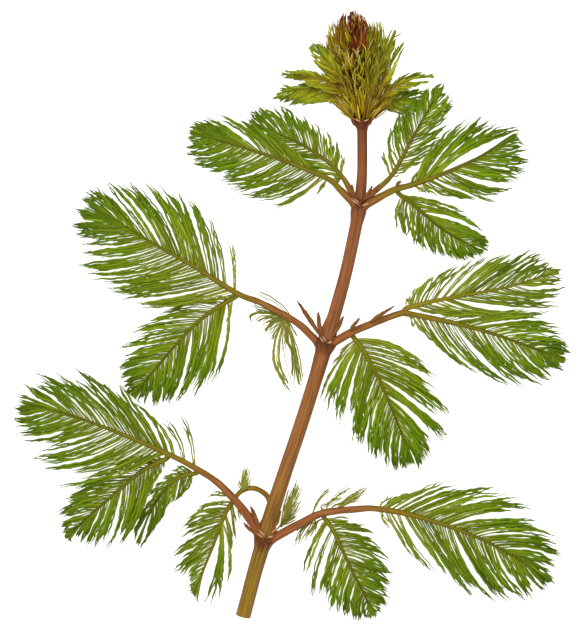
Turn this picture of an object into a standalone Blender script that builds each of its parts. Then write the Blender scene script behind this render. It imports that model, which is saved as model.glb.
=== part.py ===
"""A cut sprig of Eurasian water milfoil, lying on a flat surface.

Frame: metres, +Z up, the surface at Z = 0, the stem running along +Y, the origin under the middle of
the sprig. The plan of the sprig is read from a photograph: a plan point is (across, down, height), the
first two in the photograph's pixels and the height above the surface in millimetres.
"""

import math

import bpy
from mathutils import Vector

MM = 0.001
PIXEL = 0.15 * MM  # the real size of one pixel of the plan
PLAN_CENTRE = (291.6, 316.6)  # the plan point over the origin

STEM_SIDES = 12
LOCK_BOW = 0.10  # how far a lock of leaflets bulges towards the leaf's base, as a share of its length
LOCK_ARCH = 0.05  # how far it rises above a straight line, as a share of its length
LOCK_KNEE = 0.58  # where along a lock it starts to taper to its tip
LOCK_SPREAD = 0.42  # how far a lock reaches towards its neighbour at the knee
LOCK_HALF_WIDTH = 0.80 * MM  # the most that it may reach
LOCK_HALF_THICKNESS = 0.13 * MM
LEAF_TIP_REACH = 0.6 * MM  # how far the last lock runs on past the rachis
RACHIS_TIP_RADIUS = 0.12 * MM
UP = Vector((0, 0, 1))

COLOURS = {  # linear base colour and roughness of each kind of tissue
    "stem": ((0.30, 0.13, 0.05), 0.45),
    "leaf": ((0.15, 0.24, 0.02), 0.55),
    "young_leaf": ((0.24, 0.24, 0.02), 0.55),
    "bract": ((0.26, 0.09, 0.04), 0.55),
    "shoot_tip": ((0.22, 0.13, 0.02), 0.55),
}

# The stem from its cut end to the growing tip: across, down, height, radius in mm. It swells at each whorl.
STEM = [
    (243.0, 616.5, 1.13, 1.12),
    (254.0, 575.0, 2.05, 1.12),
    (261.3, 550.0, 2.60, 1.17),
    (263.8, 540.5, 2.85, 1.50),
    (266.4, 530.5, 3.05, 1.42),
    (269.4, 520.0, 3.25, 1.14),
    (282.3, 480.0, 3.80, 1.10),
    (299.2, 430.0, 4.40, 1.08),
    (315.0, 380.0, 5.00, 1.06),
    (322.4, 354.0, 5.35, 1.18),
    (325.3, 343.5, 5.50, 1.62),
    (328.0, 334.0, 5.65, 1.28),
    (334.5, 314.0, 5.85, 1.00),
    (346.5, 270.0, 6.30, 0.96),
    (356.0, 225.0, 6.85, 0.95),
    (358.3, 211.0, 7.00, 1.20),
    (359.4, 203.0, 7.10, 1.20),
    (360.6, 192.0, 7.20, 0.82),
    (362.0, 170.0, 7.35, 0.76),
    (362.0, 134.0, 7.55, 0.76),
    (361.8, 124.0, 7.60, 1.05),
    (361.8, 117.0, 7.60, 1.00),
]

# Each leaf: axis, its petiole and rachis from the stem outwards; bare, how many stretches of the axis
# carry no leaflets; radii in mm of the petiole's foot and of the rachis where the blade begins; sides, the
# tips of the locks of leaflets down either side, from the base of the blade to its tip (None where a place
# is empty); droop, how steeply the locks of each side fall away.
LEAVES = {
    "lower_left_leaf": dict(
        axis=[(252.5, 523.0, 3.6), (240.0, 506.0, 4.6), (219.0, 483.7, 5.8), (198.0, 469.5, 6.6), (169.4, 454.4, 7.0),
              (118.4, 432.7, 6.3), (73.8, 416.0, 4.6), (33.0, 404.0, 2.2)],
        bare=3, radii=(0.52, 0.36),
        sides=([(178.4, 409.7), (163.0, 421.0), (150.0, 415.0), (134.0, 401.0), (116.5, 379.8), (104.0, 384.0),
                (89.0, 370.8), (80.0, 370.5), (70.6, 366.4), (56.0, 370.2), (37.4, 372.0), (31.0, 381.5),
                (19.6, 387.4), (16.0, 397.0)],
               [None, None, None, (137.0, 460.0), (58.0, 491.0), (51.5, 486.0), (45.7, 470.0), (26.0, 458.5),
                (24.7, 449.3), (21.5, 441.0), (17.0, 435.0), (15.0, 427.5), (12.0, 420.0), (12.0, 410.0)]),
        droop=(0.24, 0.20)),
    "lower_left_side_leaf": dict(
        axis=[(165.0, 459.5, 6.2), (144.0, 469.7, 5.2), (124.8, 485.0, 4.2), (105.7, 501.6, 3.2), (86.5, 518.2, 2.0),
              (67.0, 537.0, 0.6)],
        bare=0, radii=(0.30, 0.30),
        sides=([(141.0, 455.5), (112.0, 463.5), (86.0, 478.0), (71.2, 485.0), (65.0, 499.0), (56.0, 511.0),
                (57.0, 518.0), (60.0, 528.5), (61.5, 538.0)],
               [(157.0, 477.0), (147.0, 494.0), (136.0, 512.0), (128.0, 531.0), (120.3, 547.5), (109.5, 552.5),
                (94.2, 550.0), (85.0, 548.0), (75.0, 546.0)]),
        droop=(0.30, 0.20)),
    "lower_left_inner_leaf": dict(
        axis=[(194.0, 473.6, 5.4), (184.0, 475.5, 4.9), (175.0, 480.5, 4.2), (165.0, 489.5, 3.2), (156.0, 502.0, 2.2),
              (147.0, 519.0, 1.3), (141.0, 536.0, 0.6)],
        bare=0, radii=(0.28, 0.28),
        sides=([(173.0, 469.5), (160.0, 478.5), (149.0, 491.0), (144.5, 507.0), (139.5, 519.5), (134.0, 532.5),
                (132.5, 545.0)],
               [(188.0, 486.0), (179.6, 497.0), (172.0, 504.5), (166.0, 511.0), (157.5, 524.0), (148.0, 538.0),
                (139.5, 549.5)]),
        droop=(0.10, 0.25)),
    "lower_back_leaf": dict(
        axis=[(270.5, 516.0, 0.85), (268.5, 499.0, 1.1), (260.0, 490.7, 1.5), (251.0, 488.4, 1.9), (243.0, 490.5, 2.1),
              (236.7, 496.0, 2.1), (225.0, 514.5, 1.9), (213.0, 546.0, 1.3), (193.5, 595.0, 0.4)],
        bare=5, radii=(0.34, 0.28),
        sides=([(208.4, 495.0), (200.0, 506.0), (187.0, 515.0), (179.0, 534.4), (173.0, 556.0), (171.2, 570.0),
                (181.0, 579.5), (187.5, 589.0)],
               [(239.0, 519.0), (235.0, 540.0), (230.0, 553.0), (231.0, 570.0), (226.0, 589.0), (218.5, 597.5),
                (211.0, 607.5), (203.0, 610.0)]),
        droop=(0.15, 0.15)),
    "lower_back_small_leaf": dict(
        axis=[(243.6, 485.0, 2.6), (245.0, 477.0, 3.0), (247.0, 468.0, 3.2)],
        bare=0, radii=(0.22, 0.22),
        sides=([(240.5, 478.0), (241.8, 470.0), (244.8, 463.5)],
               [(249.0, 477.5), (251.0, 470.0), (249.5, 464.0)]),
        droop=(0.0, 0.0)),
    "lower_right_small_leaf": dict(
        axis=[(279.5, 526.5, 2.3), (285.5, 517.0, 2.6), (290.5, 505.0, 2.8), (295.3, 492.0, 2.6), (298.0, 483.0, 2.3)],
        bare=1, radii=(0.26, 0.24),
        sides=([(284.0, 502.0), (287.0, 493.0), (291.0, 486.0), (296.5, 478.5)],
               [(300.5, 510.0), (302.0, 501.0), (304.0, 491.5), (302.0, 482.0)]),
        droop=(0.1, 0.2)),
    "lower_right_leaf": dict(
        axis=[(277.0, 536.6, 3.4), (299.6, 524.0, 4.6), (322.4, 513.2, 5.6), (354.0, 509.2, 6.5), (378.0, 508.7, 6.9),
              (421.0, 517.2, 6.9), (472.0, 535.0, 5.9), (510.0, 554.2, 4.2), (546.0, 577.0, 2.0)],
        bare=4, radii=(0.50, 0.36),
        sides=([(391.7, 495.5), (410.0, 492.0), (426.0, 490.5), (443.3, 479.6), (466.0, 487.5), (499.5, 486.0),
                (519.9, 496.5), (535.5, 511.5), (541.0, 523.5), (557.0, 537.5), (559.5, 546.0), (562.0, 555.0),
                (562.0, 567.0), (558.0, 579.0)],
               [(390.4, 529.3), (405.0, 538.0), (421.0, 565.7), (429.0, 571.5), (441.0, 577.0), (460.0, 589.0),
                (480.3, 603.3), (495.5, 603.3), (507.8, 605.2), (516.5, 601.5), (523.5, 602.7), (534.0, 599.0),
                (544.0, 594.5), (551.5, 587.0)]),
        droop=(0.15, 0.32)),
    "lower_right_hanging_leaf": dict(
        axis=[(324.8, 518.5, 4.7), (334.3, 532.6, 4.4), (348.4, 563.0, 3.4), (364.7, 595.5, 1.6), (373.0, 614.0, 0.5)],
        bare=0, radii=(0.30, 0.28),
        sides=([(352.8, 520.5), (365.0, 526.5), (377.0, 535.5), (380.0, 543.0), (383.0, 551.0), (392.0, 561.0),
                (392.5, 573.5), (393.5, 584.0), (392.0, 596.5), (387.5, 607.5), (380.0, 616.0)],
               [(318.0, 534.5), (308.5, 559.0), (301.8, 581.4), (310.5, 599.5), (321.5, 599.5), (328.4, 613.4),
                (338.0, 613.0), (345.0, 617.0), (355.0, 622.0), (362.0, 622.5), (369.5, 620.5)]),
        droop=(0.22, 0.22)),
    "lower_right_small_upper_leaf": dict(
        axis=[(323.5, 508.0, 5.2), (331.0, 500.5, 4.9), (345.0, 492.5, 4.5), (358.0, 488.0, 4.1)],
        bare=0, radii=(0.22, 0.20),
        sides=([(326.0, 494.5), (333.5, 487.5), (345.0, 483.5), (356.5, 484.0)],
               [(342.0, 502.0), (353.5, 499.5), (364.0, 496.0), (369.0, 488.5)]),
        droop=(0.1, 0.2)),
    "lower_right_small_under_leaf": dict(
        axis=[(317.0, 522.5, 4.3), (309.0, 531.0, 3.5), (299.5, 541.5, 2.8)],
        bare=0, radii=(0.22, 0.20),
        sides=([(304.0, 529.0), (299.0, 536.5), (295.0, 544.0)],
               [(313.5, 534.0), (308.0, 540.0), (301.0, 547.0)]),
        droop=(0.2, 0.2)),
    "middle_left_leaf": dict(
        axis=[(312.0, 336.5, 6.0), (300.0, 325.0, 6.9), (280.0, 312.5, 7.9), (258.0, 301.5, 8.6), (237.5, 293.5, 9.0),
              (192.6, 265.7, 9.2), (150.0, 241.5, 8.0), (102.0, 212.0, 5.4)],
        bare=4, radii=(0.50, 0.38),
        sides=([(229.5, 240.0), (209.0, 214.6), (190.6, 200.6), (172.8, 189.8), (158.0, 184.0), (144.0, 181.5),
                (130.0, 182.0), (119.0, 185.0), (107.7, 182.0), (97.0, 186.0), (87.0, 188.5), (81.0, 197.5)],
               [(136.0, 303.5), (120.0, 300.0), (111.6, 292.5), (103.0, 286.5), (91.8, 280.3), (83.0, 273.0),
                (76.5, 266.3), (81.0, 252.0), (77.8, 243.5), (75.2, 233.5), (71.4, 226.0), (72.7, 213.0)]),
        droop=(0.20, 0.24)),
    "middle_left_lower_leaf": dict(
        axis=[(234.5, 297.5, 8.0), (218.4, 306.8, 7.0), (199.3, 320.8, 5.8), (180.0, 340.0, 4.6), (157.0, 366.7, 2.6),
              (133.0, 396.0, 0.6)],
        bare=0, radii=(0.32, 0.30),
        sides=([(200.0, 302.5), (166.0, 311.0), (145.7, 321.5), (134.0, 328.5), (121.5, 335.5), (117.7, 348.9),
                (123.0, 359.5), (118.3, 368.5), (119.5, 378.5), (124.0, 391.0)],
               [(227.0, 322.0), (222.0, 365.5), (211.5, 384.0), (202.0, 391.0), (193.0, 397.0), (184.0, 400.0),
                (175.5, 405.0), (165.5, 404.0), (153.5, 407.0), (142.0, 405.5)]),
        droop=(0.26, 0.26)),
    "middle_left_sparse_leaf": dict(
        axis=[(285.0, 315.5, 6.6), (283.5, 328.0, 5.4), (283.0, 345.0, 3.6), (287.0, 368.0, 1.8), (292.0, 386.0, 0.9)],
        bare=0, radii=(0.24, 0.22),
        sides=([(250.5, 318.0), (256.0, 326.5), (264.0, 336.0), (270.5, 349.0), (281.0, 377.0)],
               [(295.0, 340.0), (295.5, 356.0), (298.0, 372.0), (301.5, 386.0), (299.0, 398.0)]),
        droop=(0.45, 0.35)),
    "middle_right_leaf": dict(
        axis=[(337.8, 340.0, 6.0), (351.0, 332.5, 6.6), (366.0, 326.0, 7.2), (397.0, 314.4, 8.2), (408.3, 313.8, 8.4),
              (450.9, 322.5, 8.6), (496.0, 334.7, 7.4), (534.6, 348.9, 5.2), (560.0, 358.5, 3.4)],
        bare=4, radii=(0.48, 0.36),
        sides=([None, None, (492.0, 316.5), (512.0, 318.0), (531.0, 318.0), (550.5, 319.5), (557.5, 324.0),
                (562.5, 328.5), (566.8, 333.5), (565.5, 341.5), (570.7, 349.0), (571.3, 355.0)],
               [(414.0, 328.0), (432.8, 341.0), (450.0, 356.0), (472.0, 371.5), (482.0, 375.5), (497.2, 382.4),
                (513.5, 386.0), (526.9, 388.2), (540.0, 386.0), (549.5, 380.5), (557.5, 377.0), (566.0, 368.5)]),
        droop=(0.10, 0.30)),
    "middle_right_upper_leaf": dict(
        axis=[(406.5, 308.3, 8.0), (418.6, 304.9, 7.6), (434.0, 301.0, 7.2), (457.3, 296.7, 6.6), (496.0, 289.6, 5.6),
              (521.7, 283.0, 4.6), (557.0, 271.5, 3.0)],
        bare=0, radii=(0.32, 0.30),
        sides=([(406.0, 297.0), (413.5, 289.5), (430.0, 276.7), (456.0, 266.0), (471.0, 259.0), (488.0, 254.0),
                (510.8, 253.0), (530.0, 249.7), (542.3, 253.0), (549.5, 263.0), (558.5, 267.0)],
               [None, (455.0, 311.0), (478.0, 311.5), (498.0, 311.5), (525.6, 309.6), (544.5, 311.5), (558.0, 311.5),
                (560.5, 304.5), (566.0, 296.0), (566.8, 289.5), (563.0, 279.0)]),
        droop=(0.20, 0.16)),
    "middle_hanging_leaf": dict(
        axis=[(354.5, 338.5, 5.9), (363.0, 350.0, 5.7), (381.4, 384.3, 4.6), (399.8, 428.2, 2.3), (411.0, 455.0, 0.7)],
        bare=0, radii=(0.32, 0.30),
        sides=([(424.0, 363.0), (437.6, 378.0), (447.8, 403.0), (449.5, 413.5), (448.8, 424.0), (447.5, 437.0),
                (441.6, 444.0), (436.5, 450.0), (431.5, 457.5), (427.5, 465.5), (423.5, 467.0), (418.5, 469.5)],
               [(334.0, 363.0), (318.7, 401.6), (323.0, 408.0), (329.5, 419.0), (339.5, 429.0), (349.5, 441.5),
                (358.5, 444.0), (369.5, 456.5), (377.0, 463.0), (386.0, 467.0), (396.0, 471.5), (405.0, 470.0)]),
        droop=(0.20, 0.20)),
    "upper_left_leaf": dict(
        axis=[(349.0, 199.0, 7.8), (339.4, 189.4, 8.5), (327.5, 179.0, 9.1), (288.0, 162.6, 9.2), (256.5, 152.0, 8.2),
              (231.0, 144.0, 6.6), (196.0, 134.0, 3.8)],
        bare=2, radii=(0.44, 0.32),
        sides=([(317.0, 194.0), (277.0, 210.0), (263.5, 206.5), (248.5, 198.0), (240.0, 194.5), (232.0, 190.0),
                (222.0, 183.0), (213.0, 177.5), (207.0, 171.0), (198.0, 167.0), (189.5, 162.5), (185.3, 154.0),
                (185.5, 144.0)],
               [None, None, (291.0, 148.0), (279.0, 140.5), (268.0, 132.5), (257.0, 125.5), (246.3, 120.0),
                (235.0, 117.5), (224.0, 114.8), (213.0, 114.5), (203.0, 116.0), (194.0, 120.0), (187.5, 126.5)]),
        droop=(0.28, 0.10)),
    "upper_left_back_leaf": dict(
        axis=[(350.0, 190.0, 6.9), (342.5, 177.5, 6.4), (326.7, 161.0, 5.6), (295.0, 141.0, 3.6), (258.0, 127.5, 0.6)],
        bare=1, radii=(0.36, 0.28),
        sides=([(343.5, 155.0), (335.5, 138.5), (322.5, 127.5), (308.0, 117.5), (294.0, 110.3), (280.0, 105.8),
                (268.0, 106.0), (257.5, 106.5), (247.6, 110.0)],
               [(333.0, 180.0), (320.0, 173.0), (307.5, 167.5), (297.0, 161.5), (284.0, 155.0), (270.5, 148.5),
                (258.0, 142.0), (247.0, 134.5), (243.0, 124.5)]),
        droop=(0.16, 0.20)),
    "upper_right_leaf": dict(
        axis=[(370.6, 202.5, 7.7), (384.0, 195.0, 8.3), (396.0, 189.3, 8.8), (410.6, 185.5, 9.1), (435.0, 177.0, 9.0),
              (459.0, 167.0, 8.2), (483.0, 155.0, 6.8), (509.0, 137.0, 4.6)],
        bare=3, radii=(0.46, 0.34),
        sides=([(425.0, 166.0), (437.5, 148.0), (447.0, 131.5), (459.5, 125.5), (471.8, 115.7), (486.0, 115.5),
                (496.0, 118.0), (505.5, 118.0), (512.5, 121.0), (519.5, 129.0)],
               [(432.0, 194.0), (447.5, 197.0), (463.0, 198.5), (481.0, 201.0), (497.2, 202.5), (509.0, 193.0),
                (520.5, 181.0), (525.0, 172.0), (529.3, 161.0), (527.5, 148.0)]),
        droop=(0.20, 0.18)),
    "upper_right_lower_leaf": dict(
        axis=[(400.5, 195.5, 8.0), (408.0, 200.5, 7.3), (422.7, 213.0, 6.0), (441.0, 228.0, 4.2), (459.0, 239.0, 2.2),
              (480.0, 249.5, 0.6)],
        bare=0, radii=(0.30, 0.28),
        sides=([(439.0, 204.5), (467.0, 212.5), (475.5, 222.0), (480.5, 227.5), (484.0, 232.5), (487.5, 238.0),
                (489.5, 242.5), (490.5, 247.0), (489.0, 251.5)],
               [(397.5, 230.3), (406.0, 237.0), (415.5, 245.4), (424.5, 250.5), (434.5, 254.5), (445.0, 257.0),
                (455.5, 260.0), (467.0, 261.5), (480.0, 258.5)]),
        droop=(0.22, 0.25)),
    "upper_right_upright_leaf": dict(
        axis=[(374.5, 191.5, 6.3), (390.0, 177.5, 6.4), (402.0, 158.0, 6.6), (413.0, 137.0, 6.9), (425.0, 116.0, 7.2),
              (437.0, 94.5, 7.0)],
        bare=1, radii=(0.36, 0.28),
        sides=([(382.0, 152.0), (385.5, 136.5), (391.0, 126.0), (395.8, 117.0), (401.5, 109.0), (408.5, 101.5),
                (417.5, 94.5), (427.5, 88.0), (437.5, 84.0)],
               [(411.0, 168.5), (420.5, 161.0), (431.5, 149.5), (439.5, 139.5), (446.0, 126.0), (451.0, 114.0),
                (455.0, 105.0), (452.5, 94.5), (446.5, 87.0)]),
        droop=(0.16, 0.16)),
    "tip_leaf_left_low": dict(
        axis=[(350.5, 113.0, 6.2), (343.5, 103.5, 6.0), (331.5, 94.0, 5.9), (312.4, 89.5, 5.3), (293.3, 90.0, 4.3),
              (280.0, 94.0, 3.4)],
        bare=1, radii=(0.26, 0.26), tissue="young_leaf",
        sides=([(319.0, 82.0), (304.5, 80.5), (292.0, 81.5), (281.0, 85.5), (275.0, 91.0)],
               [(325.0, 101.0), (309.0, 102.0), (297.0, 105.0), (286.5, 106.0), (276.0, 100.5)]),
        droop=(0.15, 0.2)),
    "tip_leaf_left_high": dict(
        axis=[(349.5, 107.5, 8.0), (341.0, 94.5, 8.6), (326.4, 82.6, 8.8), (309.8, 77.5, 8.2), (293.0, 75.0, 7.2),
              (285.0, 74.3, 6.6)],
        bare=1, radii=(0.26, 0.26), tissue="young_leaf",
        sides=([(321.0, 72.0), (309.0, 69.5), (298.0, 69.5), (288.0, 70.0), (281.0, 71.5)],
               [(318.0, 88.0), (306.0, 85.5), (296.0, 83.0), (287.0, 80.0), (280.5, 76.5)]),
        droop=(0.15, 0.2)),
    "tip_leaf_left_inner": dict(
        axis=[(352.0, 101.0, 9.6), (343.0, 84.0, 10.6), (331.5, 67.0, 10.8), (318.8, 54.0, 10.2), (312.0, 49.0, 9.6)],
        bare=1, radii=(0.24, 0.24), tissue="young_leaf",
        sides=([(334.0, 58.0), (328.0, 48.5), (321.0, 42.0), (313.0, 43.0)],
               [(321.0, 72.5), (314.0, 64.5), (308.5, 56.5), (306.0, 49.5)]),
        droop=(0.05, 0.2)),
    "tip_leaf_right_low": dict(
        axis=[(373.0, 114.5, 6.1), (381.0, 107.0, 5.6), (397.0, 101.0, 4.8), (414.0, 97.5, 3.8), (424.0, 95.5, 3.2)],
        bare=1, radii=(0.26, 0.26), tissue="young_leaf",
        sides=([(401.0, 90.5), (412.0, 88.0), (422.0, 88.0), (430.0, 90.5)],
               [(401.5, 113.5), (413.0, 117.5), (423.0, 114.0), (430.0, 102.0)]),
        droop=(0.1, 0.1)),
    "tip_leaf_right_high": dict(
        axis=[(374.5, 108.5, 8.1), (382.5, 97.5, 8.6), (395.3, 87.5, 8.8), (414.4, 79.0, 8.4), (430.0, 76.0, 7.4)],
        bare=1, radii=(0.26, 0.26), tissue="young_leaf",
        sides=([(398.0, 77.5), (410.0, 73.0), (421.5, 71.5), (433.0, 73.0)],
               [(407.0, 90.5), (418.0, 86.0), (427.5, 83.0), (436.0, 80.0)]),
        droop=(0.05, 0.15)),
    "tip_leaf_right_outer": dict(
        axis=[(374.8, 101.0, 9.7), (381.5, 87.5, 10.6), (390.5, 66.0, 10.6), (400.5, 48.0, 9.8)],
        bare=1, radii=(0.24, 0.24), tissue="young_leaf",
        sides=([(386.0, 66.0), (390.5, 55.5), (396.5, 47.0), (402.0, 42.0)],
               [(393.0, 77.0), (398.0, 65.0), (402.0, 54.0), (405.8, 43.0)]),
        droop=(0.0, 0.1)),
    "tip_leaf_right_inner": dict(
        axis=[(370.0, 95.0, 11.4), (375.5, 80.0, 12.1), (382.5, 58.0, 12.0), (393.5, 36.0, 11.2)],
        bare=1, radii=(0.24, 0.24), tissue="young_leaf",
        sides=([(377.0, 57.0), (382.0, 45.5), (387.5, 36.0), (393.0, 29.5)],
               [(384.5, 67.5), (390.5, 53.5), (395.5, 42.5), (399.0, 31.0)]),
        droop=(0.0, 0.05)),
}

# Bracts and axillary buds at the whorls: foot, tip, and the radius of the foot in mm.
BRACTS = {
    "bract_lower_left_tall": ((256.8, 521.5, 5.0), (250.3, 505.0, 7.2), 0.34),
    "bract_lower_left_short": ((249.5, 529.5, 3.0), (243.5, 523.0, 3.4), 0.26),
    "bract_lower_right": ((276.0, 524.0, 4.4), (281.0, 510.0, 6.0), 0.26),
    "bract_middle_left_long": ((315.3, 328.0, 8.0), (296.3, 299.5, 11.2), 0.36),
    "bract_middle_left_short": ((319.6, 327.0, 8.2), (317.8, 311.0, 10.6), 0.32),
    "bract_middle_right_stem": ((336.8, 329.5, 7.3), (343.8, 315.5, 9.2), 0.30),
    "bract_middle_right_petiole": ((352.5, 326.5, 8.1), (360.0, 317.5, 9.4), 0.28),
    "bract_middle_right_long": ((371.5, 318.5, 8.8), (395.3, 305.2, 10.4), 0.30),
    "bract_upper_left": ((353.0, 192.5, 8.9), (351.4, 184.5, 10.0), 0.24),
    "bract_upper_right_inner": ((367.4, 194.5, 8.9), (372.4, 186.0, 10.0), 0.24),
    "bract_upper_right_outer": ((372.5, 194.0, 9.4), (378.3, 185.5, 10.6), 0.24),
    "bract_upper_right_fork": ((397.0, 184.5, 9.5), (401.0, 181.0, 10.2), 0.24),
}

# The shoot tip: rings up its axis (across, down, height, radius in mm), and for each belt between two
# rings the length in mm and the outward lean in degrees of the unopened leaves that cover it.
TIP_SIDES = 8
TIP_RINGS = [
    (361.8, 110.5, 7.70, 0.70),
    (360.5, 97.0, 7.90, 1.15),
    (358.5, 80.0, 8.00, 1.55),
    (356.5, 62.0, 8.05, 1.65),
    (354.8, 45.0, 8.10, 1.30),
    (353.5, 30.0, 8.10, 0.75),
]
TIP_BELTS = [(4.6, 22), (5.2, 26), (5.4, 29), (5.2, 31), (3.6, 24)]
TIP_APEX = (352.6, 11.0, 8.1)


def place(across, down, height):
    """The point in metres of a plan point."""
    return Vector(((across - PLAN_CENTRE[0]) * PIXEL, (PLAN_CENTRE[1] - down) * PIXEL, height * MM))


def over_floor(point, clearance=0.0):
    """The point, lifted on to the surface where it would sink into it."""
    return Vector((point.x, point.y, max(point.z, clearance)))


class Path:
    """A smooth curve through points, read by the share of its length. A knot is one of the points."""

    STEPS = 12  # straight pieces between two points

    def __init__(self, points):
        self.line = [points[0]]
        self.lengths = [0.0]
        self.knots = [0.0]
        length = 0.0
        ends = [2 * points[0] - points[1], *points, 2 * points[-1] - points[-2]]
        for before, start, end, after in zip(ends, ends[1:], ends[2:], ends[3:]):
            for step in range(1, self.STEPS + 1):
                t = step / self.STEPS
                point = 0.5 * (2 * start + (end - before) * t
                               + (2 * before - 5 * start + 4 * end - after) * t ** 2
                               + (3 * start - before - 3 * end + after) * t ** 3)
                length += (point - self.line[-1]).length
                self.line.append(point)
                self.lengths.append(length)
            self.knots.append(length)
        self.length = length

    def share_at_knot(self, knot):
        return self.knots[knot] / self.length

    def at(self, share):
        wanted = min(max(share, 0.0), 1.0) * self.length
        for i in range(1, len(self.line)):
            if self.lengths[i] >= wanted:
                span = self.lengths[i] - self.lengths[i - 1]
                part = (wanted - self.lengths[i - 1]) / span if span else 0.0
                return self.line[i - 1].lerp(self.line[i], part)
        return self.line[-1]

    def tangent(self, share):
        nudge = 0.01
        return (self.at(share + nudge) - self.at(share - nudge)).normalized()


def add_ring(verts, centre, along, radius, sides, first_angle=0.0):
    """Adds a ring of points round centre, across the direction along, and gives their indices."""
    right = along.cross(UP).normalized()
    top = right.cross(along)
    start = len(verts)
    for side in range(sides):
        angle = first_angle + 2 * math.pi * side / sides
        verts.append(centre + radius * (math.cos(angle) * right - math.sin(angle) * top))
    return list(range(start, start + sides))


def wall(faces, lower, upper, skip=()):
    """Quads between two rings that run the same way round."""
    count = len(lower)
    for i in range(count):
        if i not in skip:
            j = (i + 1) % count
            faces.append((lower[i], lower[j], upper[j], upper[i]))


def fan(faces, ring, apex):
    """Triangles from a ring to one point beyond it."""
    count = len(ring)
    for i in range(count):
        faces.append((ring[i], ring[(i + 1) % count], apex))


def make_object(name, verts, faces, tissue):
    mesh = bpy.data.meshes.new(name)
    mesh.from_pydata([tuple(v) for v in verts], [], faces)
    mesh.validate()
    mesh.shade_smooth()
    mesh.set_sharp_from_angle(angle=math.radians(40))
    mesh.materials.append(material(tissue))
    made = bpy.data.objects.new(name, mesh)
    bpy.context.scene.collection.objects.link(made)
    return made


def material(tissue):
    made = bpy.data.materials.get(tissue)
    if made is None:
        made = bpy.data.materials.new(tissue)
        made.use_nodes = True
        shader = made.node_tree.nodes["Principled BSDF"]
        colour, roughness = COLOURS[tissue]
        shader.inputs["Base Color"].default_value = (*colour, 1.0)
        shader.inputs["Roughness"].default_value = roughness
        shader.inputs["Metallic"].default_value = 0.0
    return made


def make_stem():
    points = [place(*station[:3]) for station in STEM]
    path = Path(points)
    verts, faces, rings = [], [], []
    for knot, station in enumerate(STEM):
        share = path.share_at_knot(knot)
        rings.append(add_ring(verts, points[knot], path.tangent(share), station[3] * MM, STEM_SIDES))
    for lower, upper in zip(rings, rings[1:]):
        wall(faces, lower, upper)
    faces.append(tuple(reversed(rings[0])))
    faces.append(tuple(rings[-1]))
    return make_object("stem", verts, faces, "stem")


def lock_line(path, share, tip, droop, outward):
    """Root, knee and tip of one lock of leaflets, none of them under the surface."""
    root = path.at(share)
    flat = Vector((tip.x - root.x, tip.y - root.y, 0))
    reach = flat.length
    backward = flat.cross(UP).normalized() * outward
    end = Vector((tip.x, tip.y, root.z - droop * reach))
    knee = root.lerp(end, LOCK_KNEE) + backward * LOCK_BOW / 2 * reach + UP * LOCK_ARCH * reach
    return root, over_floor(knee, LOCK_HALF_THICKNESS), over_floor(end)


def lock_lines(path, first, tips, droop):
    """The locks of one side of a leaf, None where a place is empty, and which side of the axis it is on:
    1 on the right of someone looking out along the leaf, -1 on the left."""
    count = len(tips)
    shares = [first + (1 - first) * (i + 0.5) / count for i in range(count)]
    points = [place(*tip, 0) if tip else None for tip in tips]
    turn = sum((point - path.at(share)).cross(path.tangent(share)).z
               for point, share in zip(points, shares) if point)
    outward = 1 if turn > 0 else -1
    lines = [lock_line(path, share, point, droop, outward) if point else None
             for point, share in zip(points, shares)]
    return lines, outward


def reach_towards(here, there, spare):
    """How far a lock's knee widens towards a neighbour's, or by a plain amount where there is none."""
    step = (there - here) * LOCK_SPREAD if there else spare * LOCK_HALF_WIDTH
    if step.length > LOCK_HALF_WIDTH:
        step = step.normalized() * LOCK_HALF_WIDTH
    return step


def add_lock(verts, faces, corners, tops, lines, place_on_side, along):
    """A tapering lock on one side face of the rachis. corners are the face's four, in order, the first two
    nearer the leaf's base, and tops says which of them are on its upper edge."""
    _, knee, tip = lines[place_on_side]
    before = lines[place_on_side - 1] if place_on_side else None
    after = lines[place_on_side + 1] if place_on_side + 1 < len(lines) else None
    back = reach_towards(knee, before[1] if before else None, -along)
    fore = reach_towards(knee, after[1] if after else None, along)
    thick = UP * LOCK_HALF_THICKNESS
    ring = []
    for corner, is_top in enumerate(tops):
        ring.append(len(verts))
        verts.append(over_floor(knee + (fore if corner >= 2 else back) + (thick if is_top else -thick)))
    apex = len(verts)
    verts.append(tip)
    wall(faces, corners, ring)
    fan(faces, ring, apex)


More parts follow.
